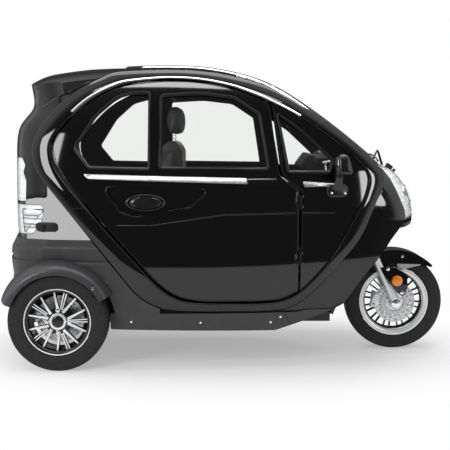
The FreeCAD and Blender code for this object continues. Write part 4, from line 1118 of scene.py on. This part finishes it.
for side, sign in SIDES:
    fork_side(side, sign)
caliper("front_caliper", "steering", FRONT_AXLE + Vector((0, -0.0690, 0)), 172, 0.108, -1, 0.044)
for side, sign in SIDES:
    blade = flat_plate([(902, 471, 2), (1052, 468, 3), (918, 437, 3)], 0.0022, 0.0702, sign)
    joined("fender_blade_" + side, [blade], "steering", SATIN_CHROME, 30)


# Mirrors, with the glass facing back


def rounded_block(low, high, radius, segments=5):
    """Block between two corners with rounded edges."""
    shape = bmesh.new()
    bmesh.ops.create_cube(shape, size=1.0)
    low, high = Vector(low), Vector(high)
    bmesh.ops.scale(shape, vec=high - low, verts=shape.verts)
    bmesh.ops.translate(shape, vec=(low + high) / 2, verts=shape.verts)
    soften(shape, shape.edges[:], radius, segments)
    return shape


def add_mirror(side, sign):
    """Tapered head, necked foot and round-cornered base in one moulding, a pane and two screws."""
    wall_y = side_y(0.53, 0.89)
    head = rounded_block((0.510, -0.075, 0.974), (0.580, 0.075, 1.072), 0.024)
    for vert in head.verts:
        share = (vert.co.z - 0.974) / 0.098
        vert.co.x = 0.512 + (vert.co.x - 0.512) * (1.12 - 0.40 * share)
        vert.co.y *= 1.0 - 0.10 * share
    moved(head, Vector((0, sign * (wall_y + 0.100), 0)))
    neck_rows = []
    foot = on_side(0.530, 0.897, 0.006, sign)
    top = Vector((0.535, sign * (wall_y + 0.060), 0.985))
    for step, wide, deep in ((0, 0.040, 0.018), (0.12, 0.026, 0.016), (0.45, 0.017, 0.013), (0.8, 0.018, 0.014),
                             (1.0, 0.024, 0.018)):
        middle = foot.lerp(top, step) + Vector((0, sign * 0.014 * math.sin(math.pi * step), 0))
        around = ellipse(0.0, 0.0, wide, deep, 24)
        neck_rows.append([middle + Vector((x, sign * 0.2 * z, z)) for x, z in around])
    neck = banded(neck_rows)
    base_line = rounded([(478, 868, 20), (478, 908, 20), (500, 922, 18), (562, 922, 18), (584, 908, 20),
                         (584, 868, 20), (560, 858, 14), (500, 858, 14)])
    rows = [on_outline(base_line, 0.0003, sign)]
    for inset, lift in ((0.0, 0.006), (0.004, 0.0095), (0.016, 0.0105)):
        rows.append(on_outline(grown(base_line, -inset) if inset else base_line, lift, sign))
    base = banded(rows, fill_last=True)
    piece = joined("mirror_housing_" + side, [head, neck, base], "car_body", GLOSS_ABS, 40)
    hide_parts("mirror_" + side)
    pane = rounded_block((0.5085, -0.062, 0.985), (0.5120, 0.062, 1.060), 0.0012, 2)
    moved(pane, Vector((0, sign * (wall_y + 0.100), 0)))
    joined("mirror_pane_" + side, [pane], "car_body", CHROME)
    side_studs("mirror_screws_" + side, [(499, 878), (566, 876)], 0.006, 0.004, 0.0095, sign)


for side, sign in SIDES:
    add_mirror(side, sign)


# Screw heads and seams of the skirts

SKIRT_SCREWS = [(-494, 235), (-148, 232), (203, 229), (252, 256)]

for side, sign in SIDES:
    side_studs("skirt_screws_" + side, SKIRT_SCREWS, 0.006, 0.003, 0.006, sign, 16)
for side, sign in SIDES:
    seam = [((263 + 45 * step / 10) * MM, (282 - 66 * step / 10) * MM) for step in range(11)]
    bead("skirt_seam_" + side, [[on_side(x, z, 0.0061, sign) for x, z in seam]], 0.0014, "car_body", SEAL,
         closed=False)


# Small fittings set on the frame's faces

CLEAR_OF_SIDE = 900
CLEAR_OF_ROOF = 1900


def set_on(name, nodes, spots, towards, radius, height, body):
    """Screw heads where rays in millimetres meet the faces of some nodes."""
    shapes = []
    for spot in spots:
        hit = face_at(nodes, spot, towards)
        if hit:
            shapes.append(moved(stud(radius, height, 16), hit[0] - hit[1] * 0.0005, facing(hit[1])))
    return joined(name, shapes, body, CHROME, 30)


def laid_on(nodes, spots, towards, stand):
    """Row of places over the faces that rays in millimetres meet."""
    hits = [face_at(nodes, spot, towards) for spot in spots]
    return [hit[0] + hit[1] * stand for hit in hits if hit]


def between(start, end, count):
    """Even row of places from one to another."""
    start, end = Vector(start), Vector(end)
    return [start.lerp(end, step / count) for step in range(count + 1)]


def turned_on(name, hit, profile, segments, material, angle, sink=0.0):
    """Turned fitting that stands on the place and normal where a ray met a face."""
    place, normal = hit
    shape = turned_shape(profile, segments)
    moved(shape, place - normal * sink, facing(normal) @ Matrix.Rotation(math.pi / 2, 4, "X"))
    return shaped_piece(name, shape, "car_body", material, angle)


for side, sign in SIDES:
    inward = (0, -sign, 0)
    clear = sign * CLEAR_OF_SIDE
    set_on("flare_screws_" + side, ["wheel_flare_" + side], [(-1028, clear, 392), (-668, clear, 422)], inward,
           0.007, 0.004, "car_body")
    set_on("fender_screw_" + side, ["front_fender"], [(932, clear, 512)], inward, 0.008, 0.004, "steering")
    set_on("nose_bolt_" + side, ["nose_panel", "front_wing_" + side, "head_lamp_" + side],
           [(958, clear, 752)], inward, 0.010, 0.006, "car_body")
    crease = [(-947, 1295), (-880, 1337), (-800, 1378), (-705, 1420), (-611, 1450)]
    route = []
    for (x_from, z_from), (x_to, z_to) in zip(crease, crease[1:]):
        route += between((x_from, clear, z_from), (x_to, clear, z_to), 6)[:-1]
    flank = laid_on(["rear_quarter_" + side, "rear_spoiler", "roof_panel"], route, inward, -0.0004)
    bead("flank_crease_" + side, [flank], 0.0035, "car_body", PAINT, closed=False)
    turned_on("rear_reflector_" + side, face_at(["rear_bumper"], (-1500, sign * 190, 575), (1, 0, 0)),
              [(0.026, -0.008), (0.026, 0.001), (0.023, 0.003), (0.012, 0.004), (0.0003, 0.0045)], 40,
              RED, 40, sink=0.001)
    lamp_face = face_at(["head_lamp_" + side], (1500, sign * 205, 862), (-1, 0, 0))
    turned_on("head_lamp_bezel_" + side, lamp_face,
              [(0.050, -0.004), (0.050, 0.0022), (0.047, 0.0034), (0.042, 0.0022), (0.038, -0.002)], 56,
              CHROME, 40)
    turned_on("head_lamp_dome_" + side, lamp_face,
              [(0.037, -0.003), (0.032, 0.0003), (0.021, 0.0020), (0.010, 0.0028), (0.0003, 0.0030)], 48,
              LENS_GREY, 60)
    lens_nodes = ["tail_lamp_" + side]
    d_shape = rounded([(-1040, 796, 6), (-915, 796, 22), (-912, 745, 30), (-950, 690, 26), (-1030, 684, 8)], 5)
    gasket = laid_on(lens_nodes, [(spot.x / MM, clear, spot.y / MM) for spot in d_shape], inward, -0.0005)
    bead("tail_gasket_" + side, [gasket], 0.0022, "car_body", SEAL)
    bars = []
    for x_from, x_to, z in ((-1030, -945, 766), (-1030, -935, 752), (-1030, -950, 722), (-1030, -965, 708)):
        bars.append(laid_on(lens_nodes, between((x_from, clear, z), (x_to, clear, z), 10), inward, -0.001))
    bead("tail_bars_" + side, bars, 0.0026, "car_body", LENS_GREY, closed=False)


# Dark lines where the folds of the rear bumper meet: painted shade, beads of near-black seal rubber laid in the
# creases to stand in for the shade that falls there

lines = []
for height in (606, 540):
    starts = [((x, -1500, height), (0, 1, 0)) for x in range(-640, -700, -20)]
    for step in range(41):
        turn = math.radians(-90 - 180 * step / 40)
        aim = Vector((math.cos(turn), math.sin(turn), 0))
        starts.append((Vector((-700, 0, height)) + aim * 1500, -aim))
    starts += [((x, 1500, height), (0, -1, 0)) for x in range(-700, -640, 20)]
    hits = [face_at(["rear_bumper"], start, towards) for start, towards in starts]
    lines.append([hit[0] - hit[1] * 0.0038 for hit in hits if hit])
# Painted shade: seal rubber beads, darker than the grey bumper, set in the fold creases
bead("bumper_fold_painted_shade", lines, 0.0026, "car_body", SEAL, closed=False)


# Wiper parked across the foot of the windscreen, on a raised bracket

DOWN = (0, 0, -1)
blade = laid_on(["windscreen"], between((745, -270, CLEAR_OF_ROOF), (745, 270, CLEAR_OF_ROOF), 24), DOWN, 0.011)
bead("wiper_blade", [blade], 0.005, "car_body", SEAL, closed=False)
bracket = []
for y in (-0.016, 0.016):
    feet = [(772, y / MM, CLEAR_OF_ROOF), (824, y / MM, CLEAR_OF_ROOF)]
    foot, toe = laid_on(["windscreen", "nose_panel"], feet, DOWN, 0.004)
    crook = [Vector((0.797, y * 0.5, foot.z + 0.052)), Vector((0.803, y * 0.5, foot.z + 0.046))]
    bracket.append([foot, *crook, toe])
bead("wiper_bracket", bracket, 0.0045, "car_body", BLACK_ABS, closed=False)
caps = []
for x, y, size in ((845, -30, 11), (862, 0, 15), (884, 24, 8)):
    place, normal = face_at(["nose_panel"], (x, y, CLEAR_OF_ROOF), DOWN)
    caps.append(moved(stud(size * MM, 0.024, 20, 0.3), place - normal * 0.001, facing(normal)))
joined("wiper_motor_caps", caps, "car_body", BLACK_ABS, 40)


# Steering cowl and brake levers

COWL = [(352, 1000, 12), (404, 1070, 14), (486, 1056, 20), (538, 1012, 20), (546, 962, 15), (458, 948, 20)]
COWL_HALF = 0.115
cowl = drawn_out([[Vector((spot.x, -COWL_HALF, spot.y)) for spot in rounded(COWL, 4)]], (0, 2 * COWL_HALF, 0))
bmesh.ops.recalc_face_normals(cowl, faces=cowl.faces)
soften(cowl, [edge for edge in cowl.edges if edge.calc_face_angle(0) > 1.2], 0.014, 4)
joined("steering_cowl", [cowl], "steering", BLACK_ABS, 40)
levers = []
for sign in (-1, 1):
    levers.append([Vector((0.512, sign * 0.105, 1.030)), Vector((0.548, sign * 0.160, 1.034)),
                   Vector((0.520, sign * 0.235, 1.030)), Vector((0.470, sign * 0.282, 1.024))])
bead("brake_levers", levers, 0.0055, "steering", CAST_ALLOY, closed=False)


# Lamps: a clear outer skin over a bright reflector of the same form


def shrunk(node, name, depth):
    """Copy of a node drawn in by a depth along its faces."""
    mesh = merged_mesh(node, name)
    shape = bmesh.new()
    shape.from_mesh(mesh)
    bmesh.ops.recalc_face_normals(shape, faces=shape.faces)
    moves = [(vert, vert.normal.copy()) for vert in shape.verts]
    for vert, normal in moves:
        vert.co -= normal * depth
    shape.to_mesh(mesh)
    shape.free()
    return mesh


for side, sign in SIDES:
    for lamp in ("head_lamp_", "tail_lamp_"):
        node = lamp + side
        cover = new_piece(node + "_cover", merged_mesh(node, node + "_cover"), "car_body", CLEAR)
        even_shading(cover)
        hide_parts(node)
        inner = new_piece(node + "_bowl", shrunk(node, node + "_bowl", 0.004), "car_body", FLUTED)
        even_shading(inner)


# Upholstery


def padded_block(name, node, inset, material, cap):
    """Pad swollen from a slightly smaller copy of its solid by a short cloth simulation."""
    mesh = merged_mesh(node, name)
    piece = new_piece(name, mesh, body_of(node), material)
    low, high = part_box(node)
    middle = (low + high) / 2
    size = high - low
    for vert in mesh.vertices:
        for axis in range(3):
            share = (size[axis] / 2 - inset) / (size[axis] / 2)
            vert.co[axis] = middle[axis] + (vert.co[axis] - middle[axis]) * share
    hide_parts(node)
    remesh = piece.modifiers.new("even_cells", "REMESH")
    remesh.mode = "VOXEL"
    remesh.voxel_size = 0.008
    bpy.context.view_layer.objects.active = piece
    bpy.ops.object.select_all(action="DESELECT")
    piece.select_set(True)
    bpy.ops.object.modifier_apply(modifier="even_cells")
    for face in piece.data.polygons:
        face.use_smooth = True
    swell(piece, cap)
    soft = piece.modifiers.new("soft_edges", "SMOOTH")
    soft.factor = 0.5
    soft.iterations = 6
    return piece


def swell(piece, cap):
    """Air pressure inside the cover, with a limit on how far any point moves."""
    rest = [vert.co.copy() for vert in piece.data.vertices]
    cloth = piece.modifiers.new("swelling", "CLOTH")
    cloth.settings.quality = 4
    cloth.settings.mass = 0.3
    cloth.settings.tension_stiffness = 20
    cloth.settings.compression_stiffness = 20
    cloth.settings.use_pressure = True
    cloth.settings.uniform_pressure_force = 4.0
    cloth.settings.effector_weights.gravity = 0.0
    for number in range(1, 16):
        bpy.context.scene.frame_set(number)
    graph = bpy.context.evaluated_depsgraph_get()
    swollen = piece.evaluated_get(graph).to_mesh()
    places = [vert.co.copy() for vert in swollen.vertices]
    piece.evaluated_get(graph).to_mesh_clear()
    piece.modifiers.remove(cloth)
    bpy.context.scene.frame_set(1)
    for vert, start, end in zip(piece.data.vertices, rest, places):
        move = end - start
        if move.length > cap:
            move = move.normalized() * cap
        vert.co = start + move


posts = []
for y in (-0.045, 0.045):
    posts.append([Vector((-0.300, y, 1.100)), Vector((-0.293, y, 1.225))])
bead("headrest_posts", posts, 0.006, "car_body", CHROME, closed=False)

padded_block("driver_cushion", "seat_cushion", 0.010, LEATHER, 0.012)
padded_block("driver_backrest", "seat_back", 0.010, LEATHER, 0.012)
padded_block("driver_headrest", "headrest", 0.008, LEATHER, 0.010)
padded_block("passenger_bench", "rear_bench", 0.012, LEATHER, 0.012)


# Studio: pale floor, plain soft light, and the camera


def seen_share(tree):
    """1 for the rays that look at the backdrop: the camera's, mirrored ones and those through glass."""
    path = add_node(tree, "ShaderNodeLightPath")
    seen = add_node(tree, "ShaderNodeMath", {"operation": "MAXIMUM"},
                    {0: path.outputs["Is Camera Ray"], 1: path.outputs["Is Glossy Ray"]})
    return path, add_node(tree, "ShaderNodeMath", {"operation": "MAXIMUM"},
                          {0: seen.outputs["Value"], 1: path.outputs["Is Transmission Ray"]}).outputs["Value"]


def eased(tree, value, start, end, low, high):
    """Value taken from low to high in a soft step."""
    return add_node(tree, "ShaderNodeMapRange", {
        "interpolation_type": "SMOOTHSTEP", "From Min": start, "From Max": end, "To Min": low, "To Max": high},
        {"Value": value}).outputs["Result"]


def studio_floor():
    """Pale sheet that keeps the shadow near the car and turns pure white away from it."""
    mesh = bpy.data.meshes.new("studio_floor")
    shape = bmesh.new()
    bmesh.ops.create_grid(shape, x_segments=1, y_segments=1, size=1.0)
    bmesh.ops.scale(shape, vec=(5.0, 1.95, 1.0), verts=shape.verts)
    shape.to_mesh(mesh)
    shape.free()
    floor = bpy.data.objects.new("studio_floor", mesh)
    bpy.context.scene.collection.objects.link(floor)
    material = finish("pale_studio_floor", ["f2f2f2"], 0.7, Specular_IOR_Level=0.1)
    tree = material.node_tree
    place = add_node(tree, "ShaderNodeTexCoord").outputs["Object"]
    around = add_node(tree, "ShaderNodeMapping", {"Scale": (0.62, 1.0, 1.0)}, {"Vector": place})
    reach = add_node(tree, "ShaderNodeVectorMath", {"operation": "LENGTH"}, {0: around.outputs["Vector"]})
    white = eased(tree, reach.outputs["Value"], 0.55, 1.15, 0.35, 1.0)
    share = add_node(tree, "ShaderNodeMath", {"operation": "MULTIPLY"}, {0: white, 1: seen_share(tree)[1]})
    glow = add_node(tree, "ShaderNodeEmission", {"Color": colour("ffffff"), "Strength": 1.0})
    shown = mixed(tree, share.outputs["Value"], shader_of(material), glow)
    tree.links.new(shown.outputs[0], tree.nodes["Material Output"].inputs["Surface"])
    mesh.materials.append(material)


def studio_world():
    """White all round; mirrored rays find it dim towards the unlit walls beside the car."""
    world = bpy.data.worlds.new("studio_world")
    bpy.context.scene.world = world
    world.use_nodes = True
    tree = world.node_tree
    sky = tree.nodes["Background"]
    sky.inputs["Color"].default_value = colour("ffffff")
    sky.inputs["Strength"].default_value = 0.5
    path, seen = seen_share(tree)
    place = add_node(tree, "ShaderNodeTexCoord")
    parts = add_node(tree, "ShaderNodeSeparateXYZ", {}, {"Vector": place.outputs["Generated"]})
    sideways = add_node(tree, "ShaderNodeMath", {"operation": "ABSOLUTE"}, {0: parts.outputs["Y"]})
    wall = eased(tree, sideways.outputs["Value"], 0.40, 0.82, 1.0, 0.10)
    white = add_node(tree, "ShaderNodeBackground", {"Color": colour("ffffff"), "Strength": 1.0})
    walls = add_node(tree, "ShaderNodeBackground", {"Color": colour("ffffff")}, {"Strength": wall})
    depth = path.outputs["Glossy Depth"]
    mirrored = add_node(tree, "ShaderNodeMath", {"operation": "MINIMUM", 1: 1.0}, {0: depth})
    shown = mixed(tree, seen, sky, mixed(tree, mirrored.outputs["Value"], white, walls))
    tree.links.new(shown.outputs[0], tree.nodes["World Output"].inputs["Surface"])


def area_light(name, place, target, width, height, power):
    data = bpy.data.lights.new(name, "AREA")
    data.shape = "RECTANGLE"
    data.size = width
    data.size_y = height
    data.energy = power
    lamp = bpy.data.objects.new(name, data)
    lamp.location = place
    lamp.rotation_euler = (Vector(target) - Vector(place)).to_track_quat("-Z", "Y").to_euler()
    bpy.context.scene.collection.objects.link(lamp)


def studio_camera():
    data = bpy.data.cameras.new("camera")
    data.sensor_width = 36.0
    data.lens = 66.24
    camera = bpy.data.objects.new("camera", data)
    camera.location = (-0.026, -4.5, 1.166)
    camera.rotation_euler = (math.radians(90 - 6.24), 0, 0)
    bpy.context.scene.collection.objects.link(camera)
    bpy.context.scene.camera = camera


studio_floor()
studio_world()
area_light("overhead_box", (0, 0, 3.6), (0, 0, 0), 3.8, 1.8, 80)
area_light("high_strip", (-0.2, -3.6, 4.4), (0, -0.4, 1.4), 4.0, 0.17, 24)
area_light("rear_corner_box", (-2.95, -3.39, 1.95), (-0.90, -0.43, 1.1), 1.05, 1.7, 54)
area_light("front_corner_box", (3.12, -3.66, 1.35), (0.75, -0.44, 1.0), 0.46, 1.0, 16)
area_light("far_side_box", (0.5, 4.4, 3.4), (0, 0, 0.8), 3.0, 0.8, 40)
studio_camera()

scene = bpy.context.scene
scene.view_settings.view_transform = "Standard"
